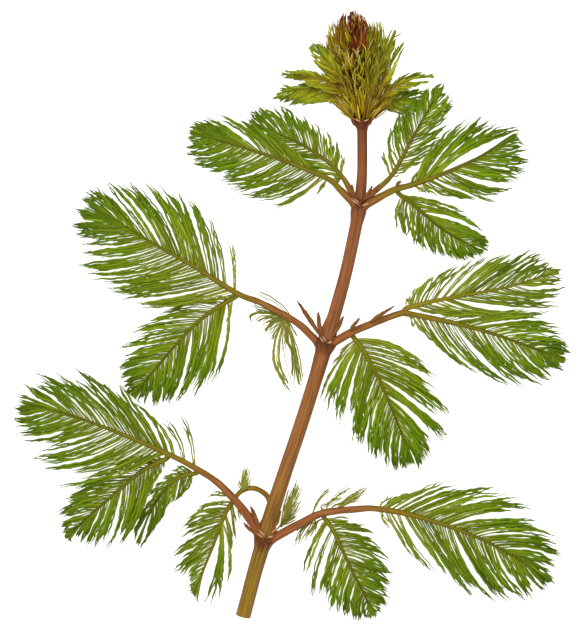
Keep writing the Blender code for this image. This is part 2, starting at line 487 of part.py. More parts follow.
def make_leaf(name, axis, bare, radii, sides, droop, tissue="leaf"):
    path = Path([place(*point) for point in axis])
    first = path.share_at_knot(bare)
    count = len(sides[0])
    petiole_shares = [path.share_at_knot(knot) for knot in range(bare)]
    blade_shares = [first + (1 - first) * i / count for i in range(count + 1)]
    foot, blade = radii[0] * MM, radii[1] * MM

    def radius(share):
        if share <= first:
            return foot + (blade - foot) * (share / first if first else 1.0)
        return blade + (RACHIS_TIP_RADIUS - blade) * (share - first) / (1 - first)

    verts, faces = [], []
    rings = [add_ring(verts, path.at(share), path.tangent(share), radius(share), 6, math.radians(30))
             for share in petiole_shares + blade_shares]
    right_face, left_face = 5, 2
    locks = {}
    for tips, fall in zip(sides, droop):
        lines, outward = lock_lines(path, first, tips, fall)
        locks[right_face if outward > 0 else left_face] = lines
    for index, (lower, upper) in enumerate(zip(rings, rings[1:])):
        place_on_side = index - len(petiole_shares)
        taken = [face for face, lines in locks.items() if place_on_side >= 0 and lines[place_on_side]]
        wall(faces, lower, upper, skip=taken)
        for face in taken:
            after = (face + 1) % 6
            corners = [lower[face], lower[after], upper[after], upper[face]]
            along = path.tangent(blade_shares[place_on_side])
            tops = (True, False, False, True) if face == right_face else (False, True, True, False)
            add_lock(verts, faces, corners, tops, locks[face], place_on_side, along)
    faces.append(tuple(reversed(rings[0])))
    apex = len(verts)
    verts.append(over_floor(path.at(1.0) + path.tangent(1.0) * LEAF_TIP_REACH))
    fan(faces, rings[-1], apex)
    return make_object(name, verts, faces, tissue)


def make_bract(name, foot, tip, radius):
    start, end = place(*foot), place(*tip)
    along = (end - start).normalized()
    bulge = start.lerp(end, 0.45) + UP * 0.1 * MM
    verts, faces = [], []
    lower = add_ring(verts, start, along, radius * 0.8 * MM, 4)
    middle = add_ring(verts, bulge, along, radius * MM, 4)
    apex = len(verts)
    verts.append(end)
    wall(faces, lower, middle)
    fan(faces, middle, apex)
    faces.append(tuple(reversed(lower)))
    return make_object(name, verts, faces, "bract")


def make_shoot_tip():
    """A spindle whose sides are drawn out into spikes, one for each unopened leaf."""
    points = [place(*ring[:3]) for ring in TIP_RINGS]
    apex_point = place(*TIP_APEX)
    path = Path([*points, apex_point])
    verts, faces, rings = [], [], []
    for knot, ring in enumerate(TIP_RINGS):
        along = path.tangent(path.share_at_knot(knot))
        turn = math.pi / TIP_SIDES * (knot % 2)
        rings.append(add_ring(verts, points[knot], along, ring[3] * MM, TIP_SIDES, turn))
    faces.append(tuple(reversed(rings[0])))
    for belt, (lower, upper) in enumerate(zip(rings, rings[1:])):
        along = (points[belt + 1] - points[belt]).normalized()
        length, lean = TIP_BELTS[belt]
        shift = belt % 2  # alternate rings are turned by half a side
        for side in range(TIP_SIDES):
            low = lower[side]
            low_after = lower[(side + 1) % TIP_SIDES]
            up = upper[(side - 1 + shift) % TIP_SIDES]
            up_after = upper[(side + shift) % TIP_SIDES]
            faces.append((low, up_after, up))
            foot = (verts[low] + verts[low_after] + verts[up_after]) / 3
            outward = foot - points[belt]
            outward = (outward - outward.dot(along) * along).normalized()
            direction = math.cos(math.radians(lean)) * along + math.sin(math.radians(lean)) * outward
            verts.append(foot + length * MM * direction)
            fan(faces, [low, low_after, up_after], len(verts) - 1)
    apex = len(verts)
    verts.append(apex_point)
    fan(faces, rings[-1], apex)
    return make_object("shoot_tip", verts, faces, "shoot_tip")


def main():
    for old in list(bpy.data.objects):
        bpy.data.objects.remove(old)
    make_stem()
    for name, leaf in LEAVES.items():
        make_leaf(name, **leaf)
    for name, bract in BRACTS.items():
        make_bract(name, *bract)
    make_shoot_tip()


main()
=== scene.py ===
import math

import bpy
import numpy as np
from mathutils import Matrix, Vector


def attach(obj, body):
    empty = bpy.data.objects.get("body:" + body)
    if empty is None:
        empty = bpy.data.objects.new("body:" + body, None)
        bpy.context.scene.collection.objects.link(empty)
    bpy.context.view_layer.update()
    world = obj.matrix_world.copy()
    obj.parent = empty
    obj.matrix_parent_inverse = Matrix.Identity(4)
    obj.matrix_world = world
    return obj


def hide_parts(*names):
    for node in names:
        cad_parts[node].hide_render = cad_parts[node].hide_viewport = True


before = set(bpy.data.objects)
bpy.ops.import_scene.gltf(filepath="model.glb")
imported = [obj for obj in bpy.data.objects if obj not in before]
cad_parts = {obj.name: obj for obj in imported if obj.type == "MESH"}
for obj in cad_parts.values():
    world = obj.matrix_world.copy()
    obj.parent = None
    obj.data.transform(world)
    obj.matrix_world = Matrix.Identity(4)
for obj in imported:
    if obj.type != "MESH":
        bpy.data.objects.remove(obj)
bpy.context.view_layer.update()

# Eurasian water milfoil, a cut sprig lying on a pale floor, seen from straight above. A plan point is
# (across, down, height): the first two in the photograph's pixels, the height above the floor in mm.
MM = 0.001
PIXEL = 0.15 * MM  # the real size of one pixel of the plan
PLAN_CENTRE = (291.6, 316.6)  # the plan point over the origin
PHOTO_MIDDLE = (291.0, 317.5)  # the plan point that the camera looks down on
PHOTO_HEIGHT = 635

LEAFLET_RADIUS = 0.125 * MM
LEAFLET_SIDES = 4
LEAFLET_RINGS = 24
LEAFLET_GAP = 0.222 * MM  # between neighbouring leaflets, across them
RIPPLE_LENGTHS = (1.3 * MM, 3.2 * MM)  # how far apart the waves of a leaflet lie
RIPPLE_DEPTH = 0.085 * MM
THREAD_SPREAD = 0.42 * MM  # how far from the middle of its bundle a loose thread strays
FLOOR_GAP = 0.02 * MM  # the least height of an underside
THIN_LOCK = 4  # threads
BLADE_END = 0.95  # the share of a rachis where its last lock grows
RACHIS_SIDES = 12
RACHIS_RINGS = 72
RACHIS_TIP_RADIUS = 0.12 * MM
ROOT_RINGS = 14  # of a petiole, between its root and its foot
ROOT_DEPTH = 1.1 * MM  # how far below a whorl its petioles grow out of the stem
STEM_SIDES = 40
STEM_RINGS = 420
RIDGES = ((5, 0.020), (7, 0.016), (9, 0.012), (13, 0.007))  # of the bark: how many, and their height
BUMPS = 26
CUP_SIDES = 56  # round the cup of a whorl
CUP_RINGS = 15
SCALES = 17  # on the cup of a whorl
SCALE_SIDES, SCAR_SIDES = 6, 8
BRACT_RINGS = 34
BRACT_SIDES, TOOTH_SIDES = 12, 6
STRAND_RINGS = 9  # along a young leaf of the shoot tip
STRAPS, HOOKS = 160, 170  # young leaves round the shoot tip's foot, and hooked ones all over it
TUFT_ROWS, TUFT_ROW = 14, 20  # rows of young leaves up the shoot tip, and how many in one
BUD_ROWS, BUD_ROW = 12, 14  # and those of the scales of its bud
CORE_SIDES, STRAND_SIDES, BARB_SIDES = 20, 5, 3  # of its core, its young leaves and their leaflets
GRAIN_STEP = 7.3  # in mm, how far on in the grain the next of several tubes starts
STEM_SEED, TIP_SEED = 1, 7
LEAF_SEEDS, BRACT_SEEDS = 100, 200  # those of the first leaf and of the first bract
TINY = 1e-12  # keeps a length of nothing from dividing
FLAT = (1, 1, 0)  # leaves out a height
UP = np.array([0.0, 0.0, 1.0])
TURN = 2 * math.pi
LEAFLETS, RACHIS = 0, 1  # material places on a leaf
BARK, CUT, SCAR = 0, 1, 2  # and on the stem

# How a leaf's leaflets are set. gap and radius: factors on the distance between them and on their radius.
# angles: how far those of each side lean from the rachis at its foot and at its tip, in degrees. bow: how far
# a lock bulges towards the leaf's base, as a share of its length. sway: how far they wander, in metres. stray
# and short: the shares of strays and of short ones. ragged and uneven: how their ends vary, and those of the
# tufts in a lock. tufts: how many a lock has (the second number is left out). spread: how far those lie
# apart. loose: how far the leaflets of one do. drawn: how late they come together. light and mottle: a factor
# on their lightness, and how it varies. green: how far their colour is ahead of their length. pale: how faded
# they are. thin: the locks of each side that have only four threads. stalk_width: a factor on the radius of
# the rachis. olive: how far the colour of its foot is from brown.
PLAIN_FOLIAGE = dict(gap=1.0, radius=1.0, angles=((42, 18), (42, 18)), bow=0.05, sway=0.15 * MM, stray=0.06,
                     short=0.18, ragged=0.14, uneven=0.72, tufts=(1, 4), spread=(0.8, 1.0), loose=0.38,
                     drawn=(2.0, 6.5), mottle=0.16, light=1.0, green=0.0, pale=0.0, thin=((), ()),
                     stalk_width=1.0, olive=0.0)
YOUNG_FOLIAGE = dict(gap=0.55, radius=0.88, angles=((18, 5), (18, 5)), bow=0.03, sway=0.12 * MM, stray=0.08,
                     short=0.25, ragged=0.4, uneven=0.65, tufts=(2, 5), spread=(0.95, 1.2), loose=0.7,
                     drawn=(2.0, 5.0), mottle=0.3, light=1.05, stalk_width=0.5)

WHORL_KNOTS = (3, 10, 16, 20)  # the stem's stations at the whorls and at the foot of the tuft
CUPS = ((1.50, 1.9), (1.62, 2.0), (1.22, 1.8), (1.66, 1.5))  # round the whorls: radius and depth in mm

FLOOR_HALF_WIDTH = 6.0  # in metres
FLOOR_COLOUR = (0.93, 0.93, 0.92, 1.0)
FLOOR_GLOW = 0.75
WORLD_COLOUR = (0.97, 0.985, 1.0, 1.0)
WORLD_STRENGTH = 0.55
# Each lamp's name, place and width in metres, and watts.
LAMPS = [("key_light", (-0.12, 0.14, 0.42), 0.20, 1.0), ("fill_light", (0.22, -0.10, 0.40), 0.30, 0.25)]
CAMERA_LENS = 600  # in mm, as is the next
SENSOR = 36
CAMERA_FOCUS_HEIGHT = 5.0  # in mm

# The stem from its cut end to the growing tip: across, down, height, radius in mm. It swells at each whorl.
STEM = [
    (243, 616.5, 1.13, 1.12), (254, 575, 2.05, 1.12), (261.3, 550, 2.6, 1.17), (263.8, 540.5, 2.85, 1.5),
    (266.4, 530.5, 3.05, 1.42), (269.4, 520, 3.25, 1.14), (282.3, 480, 3.8, 1.1), (299.2, 430, 4.4, 1.08),
    (315, 380, 5, 1.06), (322.4, 354, 5.35, 1.18), (325.3, 343.5, 5.5, 1.62), (328, 334, 5.65, 1.28),
    (334.5, 314, 5.85, 1), (346.5, 270, 6.3, 0.96), (356, 225, 6.85, 0.95), (358.3, 211, 7, 1.2),
    (359.4, 203, 7.1, 1.2), (360.6, 192, 7.2, 0.82), (362, 170, 7.35, 0.76), (362, 134, 7.55, 0.76),
    (361.8, 121, 7.6, 1.05), (361.8, 115, 7.6, 1),
]

# Each leaf: axis, its petiole and rachis from the stem outwards; bare, how many stretches of the axis
# carry no leaflets; radii in mm of the petiole's foot and of the rachis where the blade begins; sides, the
# tips of the locks of leaflets down either side, from the base of the blade to its tip (None where a place
# is empty); droop, how steeply the locks of each side fall away. A leaf without sides has loose threads.
LEAVES = {
    "lower_left_leaf": dict(
        bare=3, radii=(0.52, 0.36), droop=(0.24, 0.2),
        axis=[(252.5, 523, 3.6), (240, 506, 4.6), (219, 483.7, 5.8), (198, 469.5, 6.6), (169.4, 454.4, 7),
              (118.4, 432.7, 6.3), (73.8, 416, 4.6), (33, 404, 2.2)],
        sides=([(178.4, 409.7), (163, 421), (150, 415), (134, 401), (116.5, 379.8), (104, 384), (89, 370.8),
                (80, 370.5), (70.6, 366.4), (56, 370.2), (37.4, 372), (31, 381.5), (19.6, 387.4), (16, 397)],
               [None, None, None, (137, 460), (58, 491), (51.5, 486), (45.7, 470), (26, 458.5), (24.7, 449.3),
                (21.5, 441), (17, 435), (15, 427.5), (12, 420), (12, 410)])),
    "lower_left_side_leaf": dict(
        bare=0, radii=(0.3, 0.3), droop=(0.3, 0.2),
        axis=[(165, 459.5, 6.2), (144, 469.7, 5.2), (124.8, 485, 4.2), (105.7, 501.6, 3.2), (86.5, 518.2, 2),
              (67, 537, 0.6)],
        sides=([(141, 455.5), (112, 463.5), (86, 478), (71.2, 485), (65, 499), (56, 511), (57, 518),
                (60, 528.5), (61.5, 538)],
               [(157, 477), (147, 494), (136, 512), (128, 531), (120.3, 547.5), (109.5, 552.5), (94.2, 550),
                (85, 548), (75, 546)])),
    "lower_left_inner_leaf": dict(
        bare=0, radii=(0.28, 0.28), droop=(0.1, 0.25),
        axis=[(194, 473.6, 5.4), (184, 475.5, 4.9), (175, 480.5, 4.2), (165, 489.5, 3.2), (156, 502, 2.2),
              (147, 519, 1.3), (141, 536, 0.6)],
        sides=([(173, 469.5), (160, 478.5), (149, 491), (144.5, 507), (139.5, 519.5), (134, 532.5),
                (132.5, 545)],
               [(188, 486), (179.6, 497), (172, 504.5), (166, 511), (157.5, 524), (148, 538),
                (139.5, 549.5)])),
    "lower_back_leaf": dict(
        bare=5, radii=(0.34, 0.28), droop=(0.15, 0.15),
        axis=[(270.5, 516, 0.85), (268.5, 499, 1.1), (260, 490.7, 1.5), (251, 488.4, 1.9), (243, 490.5, 2.1),
              (236.7, 496, 2.1), (225, 514.5, 1.9), (213, 546, 1.3), (193.5, 595, 0.4)],
        sides=([(208.4, 495), (200, 506), (187, 515), (179, 534.4), (173, 556), (171.2, 570), (181, 579.5),
                (187.5, 589)],
               [(239, 519), (235, 540), (230, 553), (231, 570), (226, 589), (218.5, 597.5), (211, 607.5),
                (203, 610)])),
    "lower_back_small_leaf": dict(
        bare=0, radii=(0.22, 0.22),
        axis=[(243.6, 485, 2.6), (245, 477, 3), (247, 468, 3.2)]),
    "lower_right_small_leaf": dict(
        bare=1, radii=(0.26, 0.24),
        axis=[(279.5, 526.5, 2.3), (285.5, 517, 2.6), (290.5, 505, 2.8), (295.3, 492, 2.6), (298, 483, 2.3)]),
    "lower_right_leaf": dict(
        bare=4, radii=(0.5, 0.36), droop=(0.15, 0.32),
        axis=[(277, 536.6, 3.4), (299.6, 524, 4.6), (322.4, 513.2, 5.6), (354, 509.2, 6.5), (378, 508.7, 6.9),
              (421, 517.2, 6.9), (472, 535, 5.9), (510, 554.2, 4.2), (546, 577, 2)],
        sides=([(391.7, 495.5), (410, 492), (426, 490.5), (443.3, 479.6), (466, 487.5), (499.5, 486),
                (519.9, 496.5), (535.5, 511.5), (541, 523.5), (557, 537.5), (559.5, 546), (562, 555),
                (562, 567), (558, 579)],
               [(390.4, 529.3), (405, 538), (421, 565.7), (429, 571.5), (441, 577), (460, 589),
                (480.3, 603.3), (495.5, 603.3), (507.8, 605.2), (516.5, 601.5), (523.5, 602.7), (534, 599),
                (544, 594.5), (551.5, 587)])),
    "lower_right_hanging_leaf": dict(
        bare=0, radii=(0.3, 0.28), droop=(0.22, 0.22),
        axis=[(324.8, 518.5, 4.7), (334.3, 532.6, 4.4), (348.4, 563, 3.4), (364.7, 595.5, 1.6),
              (373, 614, 0.5)],
        sides=([(352.8, 520.5), (365, 526.5), (377, 535.5), (380, 543), (383, 551), (392, 561),
                (392.5, 573.5), (393.5, 584), (392, 596.5), (387.5, 607.5), (380, 616)],
               [(318, 534.5), (308.5, 559), (301.8, 581.4), (310.5, 599.5), (321.5, 599.5), (328.4, 613.4),
                (338, 613), (345, 617), (355, 622), (362, 622.5), (369.5, 620.5)])),
    "lower_right_small_upper_leaf": dict(
        bare=0, radii=(0.22, 0.2),
        axis=[(323.5, 508, 5.2), (331, 500.5, 4.9), (345, 492.5, 4.5), (358, 488, 4.1)]),
    "lower_right_small_under_leaf": dict(
        bare=0, radii=(0.22, 0.2),
        axis=[(317, 522.5, 4.3), (309, 531, 3.5), (299.5, 541.5, 2.8)]),
    "middle_left_leaf": dict(
        bare=4, radii=(0.5, 0.38), droop=(0.2, 0.24),
        axis=[(312, 336.5, 6), (300, 325, 6.9), (280, 312.5, 7.9), (258, 301.5, 8.6), (237.5, 293.5, 9),
              (192.6, 265.7, 9.2), (150, 241.5, 8), (102, 212, 5.4)],
        sides=([(229.5, 240), (209, 214.6), (190.6, 200.6), (172.8, 189.8), (158, 184), (144, 181.5),
                (130, 182), (119, 185), (107.7, 182), (97, 186), (87, 188.5), (81, 197.5)],
               [(136, 303.5), (120, 300), (111.6, 292.5), (103, 286.5), (91.8, 280.3), (83, 273),
                (76.5, 266.3), (81, 252), (77.8, 243.5), (75.2, 233.5), (71.4, 226), (72.7, 213)])),
    "middle_left_lower_leaf": dict(
        bare=0, radii=(0.32, 0.3), droop=(0.26, 0.26),
        axis=[(234.5, 297.5, 8), (218.4, 306.8, 7), (199.3, 320.8, 5.8), (180, 340, 4.6), (157, 366.7, 2.6),
              (133, 396, 0.6)],
        sides=([(200, 302.5), (166, 311), (145.7, 321.5), (134, 328.5), (121.5, 335.5), (117.7, 348.9),
                (123, 359.5), (118.3, 368.5), (119.5, 378.5), (124, 391)],
               [(227, 322), (222, 365.5), (211.5, 384), (202, 391), (193, 397), (184, 400), (175.5, 405),
                (165.5, 404), (153.5, 407), (142, 405.5)])),
    "middle_left_sparse_leaf": dict(
        bare=0, radii=(0.24, 0.22),
        axis=[(285, 315.5, 6.6), (283.5, 328, 5.4), (283, 345, 3.6), (287, 368, 1.8), (292, 386, 0.9)]),
    "middle_right_leaf": dict(
        bare=4, radii=(0.48, 0.36), droop=(0.1, 0.3),
        axis=[(337.8, 340, 6), (351, 332.5, 6.6), (366, 326, 7.2), (397, 314.4, 8.2), (408.3, 313.8, 8.4),
              (450.9, 322.5, 8.6), (496, 334.7, 7.4), (534.6, 348.9, 5.2), (560, 358.5, 3.4)],
        sides=([None, None, (492, 316.5), (512, 318), (531, 318), (550.5, 319.5), (557.5, 324),
                (562.5, 328.5), (566.8, 333.5), (565.5, 341.5), (570.7, 349), (571.3, 355)],
               [(414, 328), (432.8, 341), (450, 356), (472, 371.5), (482, 375.5), (497.2, 382.4),
                (513.5, 386), (526.9, 388.2), (540, 386), (549.5, 380.5), (557.5, 377), (566, 368.5)])),
    "middle_right_upper_leaf": dict(
        bare=0, radii=(0.32, 0.3), droop=(0.2, 0.16),
        axis=[(406.5, 308.3, 8), (418.6, 304.9, 7.6), (434, 301, 7.2), (457.3, 296.7, 6.6), (496, 289.6, 5.6),
              (521.7, 283, 4.6), (557, 271.5, 3)],
        sides=([(406, 297), (413.5, 289.5), (430, 276.7), (456, 266), (471, 259), (488, 254), (510.8, 253),
                (530, 249.7), (542.3, 253), (549.5, 263), (558.5, 267)],
               [None, (455, 311), (478, 311.5), (498, 311.5), (525.6, 309.6), (544.5, 311.5), (558, 311.5),
                (560.5, 304.5), (566, 296), (566.8, 289.5), (563, 279)])),
    "middle_hanging_leaf": dict(
        bare=0, radii=(0.32, 0.3), droop=(0.2, 0.2),
        axis=[(354.5, 338.5, 5.9), (363, 350, 5.7), (381.4, 384.3, 4.6), (399.8, 428.2, 2.3),
              (411, 455, 0.7)],
        sides=([(424, 363), (437.6, 378), (447.8, 403), (449.5, 413.5), (448.8, 424), (447.5, 437),
                (441.6, 444), (436.5, 450), (431.5, 457.5), (427.5, 465.5), (423.5, 467), (418.5, 469.5)],
               [(334, 363), (318.7, 401.6), (323, 408), (329.5, 419), (339.5, 429), (349.5, 441.5),
                (358.5, 444), (369.5, 456.5), (377, 463), (386, 467), (396, 471.5), (405, 470)])),
    "upper_left_leaf": dict(
        bare=2, radii=(0.44, 0.32), droop=(0.28, 0.1),
        axis=[(349, 199, 7.8), (339.4, 189.4, 8.5), (327.5, 179, 9.1), (288, 162.6, 9.2), (256.5, 152, 8.2),
              (231, 144, 6.6), (196, 134, 3.8)],
        sides=([(317, 194), (277, 210), (263.5, 206.5), (248.5, 198), (240, 194.5), (232, 190), (222, 183),
                (213, 177.5), (207, 171), (198, 167), (189.5, 162.5), (185.3, 154), (185.5, 144)],
               [None, None, (291, 148), (279, 140.5), (268, 132.5), (257, 125.5), (246.3, 120), (235, 117.5),
                (224, 114.8), (213, 114.5), (203, 116), (194, 120), (187.5, 126.5)])),
    "upper_left_back_leaf": dict(
        bare=1, radii=(0.36, 0.28), droop=(0.16, 0.2),
        axis=[(350, 190, 6.9), (342.5, 177.5, 6.4), (326.7, 161, 5.6), (295, 141, 3.6), (258, 127.5, 0.6)],
        sides=([(343.5, 155), (335.5, 138.5), (322.5, 127.5), (308, 117.5), (294, 110.3), (280, 105.8),
                (268, 106), (257.5, 106.5), (247.6, 110)],
               [(333, 180), (320, 173), (307.5, 167.5), (297, 161.5), (284, 155), (270.5, 148.5), (258, 142),
                (247, 134.5), (243, 124.5)])),
    "upper_right_leaf": dict(
        bare=3, radii=(0.46, 0.34), droop=(0.2, 0.18),
        axis=[(370.6, 202.5, 7.7), (384, 195, 8.3), (396, 189.3, 8.8), (410.6, 185.5, 9.1), (435, 177, 9),
              (459, 167, 8.2), (483, 155, 6.8), (509, 137, 4.6)],
        sides=([(425, 166), (437.5, 148), (447, 131.5), (459.5, 125.5), (471.8, 115.7), (486, 115.5),
                (496, 118), (505.5, 118), (512.5, 121), (519.5, 129)],
               [(432, 194), (447.5, 197), (463, 198.5), (481, 201), (497.2, 202.5), (509, 193), (520.5, 181),
                (525, 172), (529.3, 161), (527.5, 148)])),
    "upper_right_lower_leaf": dict(
        bare=0, radii=(0.3, 0.28), droop=(0.22, 0.25),
        axis=[(400.5, 195.5, 8), (408, 200.5, 7.3), (422.7, 213, 6), (441, 228, 4.2), (459, 239, 2.2),
              (480, 249.5, 0.6)],
        sides=([(439, 204.5), (467, 212.5), (475.5, 222), (480.5, 227.5), (484, 232.5), (487.5, 238),
                (489.5, 242.5), (490.5, 247), (489, 251.5)],
               [(397.5, 230.3), (406, 237), (415.5, 245.4), (424.5, 250.5), (434.5, 254.5), (445, 257),
                (455.5, 260), (467, 261.5), (480, 258.5)])),
    "upper_right_upright_leaf": dict(
        bare=1, radii=(0.36, 0.28), droop=(0.16, 0.16),
        axis=[(374.5, 191.5, 6.3), (390, 177.5, 6.4), (402, 158, 6.6), (413, 137, 6.9), (425, 116, 7.2),
              (437, 94.5, 7)],
        sides=([(382, 152), (385.5, 136.5), (391, 126), (395.8, 117), (401.5, 109), (408.5, 101.5),
                (417.5, 94.5), (427.5, 88), (437.5, 84)],
               [(411, 168.5), (420.5, 161), (431.5, 149.5), (439.5, 139.5), (446, 126), (451, 114),
                (455, 105), (452.5, 94.5), (446.5, 87)])),
    "tip_leaf_left_low": dict(
        bare=1, radii=(0.26, 0.26), tissue="young_leaf", droop=(0.15, 0.2),
        axis=[(350.5, 113, 6.2), (343.5, 103.5, 6), (331.5, 94, 5.9), (312.4, 89.5, 5.3), (293.3, 90, 4.3),
              (280, 94, 3.4)],
        sides=([(319, 82), (304.5, 80.5), (292, 81.5), (281, 85.5), (275, 91)],
               [(325, 101), (309, 102), (297, 105), (286.5, 106), (276, 100.5)])),
    "tip_leaf_left_high": dict(
        bare=1, radii=(0.26, 0.26), tissue="young_leaf", droop=(0.15, 0.2),
        axis=[(349.5, 107.5, 8), (341, 94.5, 8.6), (326.4, 82.6, 8.8), (309.8, 77.5, 8.2), (293, 75, 7.2),
              (285, 74.3, 6.6)],
        sides=([(321, 72), (309, 69.5), (298, 69.5), (288, 70), (281, 71.5)],
               [(318, 88), (306, 85.5), (296, 83), (287, 80), (280.5, 76.5)])),
    "tip_leaf_left_inner": dict(
        bare=1, radii=(0.24, 0.24), tissue="young_leaf", droop=(0.05, 0.2),
        axis=[(352, 101, 9.6), (343, 84, 10.6), (331.5, 67, 10.8), (318.8, 54, 10.2), (312, 49, 9.6)],
        sides=([(334, 58), (328, 48.5), (321, 42), (313, 43)],
               [(321, 72.5), (314, 64.5), (308.5, 56.5), (306, 49.5)])),
    "tip_leaf_right_low": dict(
        bare=1, radii=(0.26, 0.26), tissue="young_leaf", droop=(0.1, 0.1),
        axis=[(373, 114.5, 6.1), (381, 107, 5.6), (397, 101, 4.8), (414, 97.5, 3.8), (424, 95.5, 3.2)],
        sides=([(401, 90.5), (412, 88), (422, 88), (430, 90.5)],
               [(401.5, 113.5), (413, 117.5), (423, 114), (430, 102)])),
    "tip_leaf_right_high": dict(
        bare=1, radii=(0.26, 0.26), tissue="young_leaf", droop=(0.05, 0.15),
        axis=[(374.5, 108.5, 8.1), (382.5, 97.5, 8.6), (395.3, 87.5, 8.8), (414.4, 79, 8.4), (430, 76, 7.4)],
        sides=([(398, 77.5), (410, 73), (421.5, 71.5), (433, 73)],
               [(407, 90.5), (418, 86), (427.5, 83), (436, 80)])),
    "tip_leaf_right_outer": dict(
        bare=1, radii=(0.24, 0.24), tissue="young_leaf", droop=(0, 0.1),
        axis=[(374.8, 101, 9.7), (381.5, 87.5, 10.6), (390.5, 66, 10.6), (400.5, 48, 9.8)],
        sides=([(386, 66), (390.5, 55.5), (396.5, 47), (402, 42)],
               [(393, 77), (398, 65), (402, 54), (405.8, 43)])),
    "tip_leaf_right_inner": dict(
        bare=1, radii=(0.24, 0.24), tissue="young_leaf", droop=(0, 0.05),
        axis=[(370, 95, 11.4), (375.5, 80, 12.1), (382.5, 58, 12), (393.5, 36, 11.2)],
        sides=([(377, 57), (382, 45.5), (387.5, 36), (393, 29.5)],
               [(384.5, 67.5), (390.5, 53.5), (395.5, 42.5), (399, 31)])),
}

# What single leaves have that differs. The wispy ones are a few pale threads on a stalk hardly thicker.
WISPY = dict(radius=0.6, pale=0.7, light=0.88, mottle=0.2, stalk_width=0.28, olive=1.4)
FOLIAGE = {
    "lower_left_leaf": dict(angles=((40, 12), (48, 28)), thin=((0, 1, 2), ())),
    "lower_left_side_leaf": dict(angles=((36, 20), (45, 22))),
    "lower_left_inner_leaf": dict(angles=((25, 12), (34, 12))),
    "lower_back_leaf": dict(olive=0.75, gap=1.1, pale=0.25, angles=((50, 25), (40, 20)),
                            thin=((0, 1), (0, 1, 2, 3, 4))),
    "lower_back_small_leaf": WISPY,
    "lower_right_small_leaf": WISPY,
    "lower_right_leaf": dict(light=1.05, gap=0.94, angles=((34, 14), (50, 26)), loose=0.5, spread=(0.9, 1.1),
                             thin=((0, 3), (0, 1, 2, 3, 4))),
    "lower_right_hanging_leaf": dict(light=1.04, angles=((50, 30), (52, 30)), thin=((), (0, 1, 3))),
    "lower_right_small_upper_leaf": WISPY,
    "lower_right_small_under_leaf": WISPY,
    "middle_left_leaf": dict(olive=0.3, stalk_width=0.88, gap=0.92, angles=((48, 12), (44, 36)),
                             thin=((0, 1), ())),
    "middle_left_lower_leaf": dict(light=1.05, angles=((28, 34), (52, 26)), thin=((), (0, 1, 2))),
    "middle_left_sparse_leaf": dict(WISPY, radius=0.74, light=0.95),
    "middle_right_leaf": dict(light=1.06, olive=0.25, loose=0.55, spread=(0.9, 1.15),
                              angles=((22, 14), (40, 20)), thin=((), (0, 1, 2))),
    "middle_right_upper_leaf": dict(light=1.12, gap=1.1, pale=0.3, angles=((40, 14), (18, 12)),
                                    thin=((0, 4, 5), ())),
    "middle_hanging_leaf": dict(light=1.08, gap=0.85, loose=0.5, angles=((38, 10), (60, 22)),
                                thin=((), (1,))),
    "upper_left_leaf": dict(light=1.05, gap=0.87, olive=0.8, angles=((45, 28), (30, 12)),
                            thin=((0, 1, 2), ())),
    "upper_left_back_leaf": dict(light=1.08, olive=0.8, angles=((48, 24), (30, 15)), thin=((0,), ())),
    "upper_right_leaf": dict(light=1.1, olive=0.8, angles=((42, 10), (46, 26)), thin=((), (0, 4))),
    "upper_right_lower_leaf": dict(light=1.13, olive=0.8, angles=((22, 18), (52, 26)), thin=((), (0,))),
    "upper_right_upright_leaf": dict(light=1.12, olive=0.8, angles=((45, 20), (40, 22)), thin=((0, 1), ())),
    "tip_leaf_left_low": dict(green=0.15),
    "tip_leaf_right_low": dict(light=1.2, green=0.45),
    "tip_leaf_right_high": dict(light=1.12, green=0.1),
    "tip_leaf_right_outer": dict(light=1.15),
}

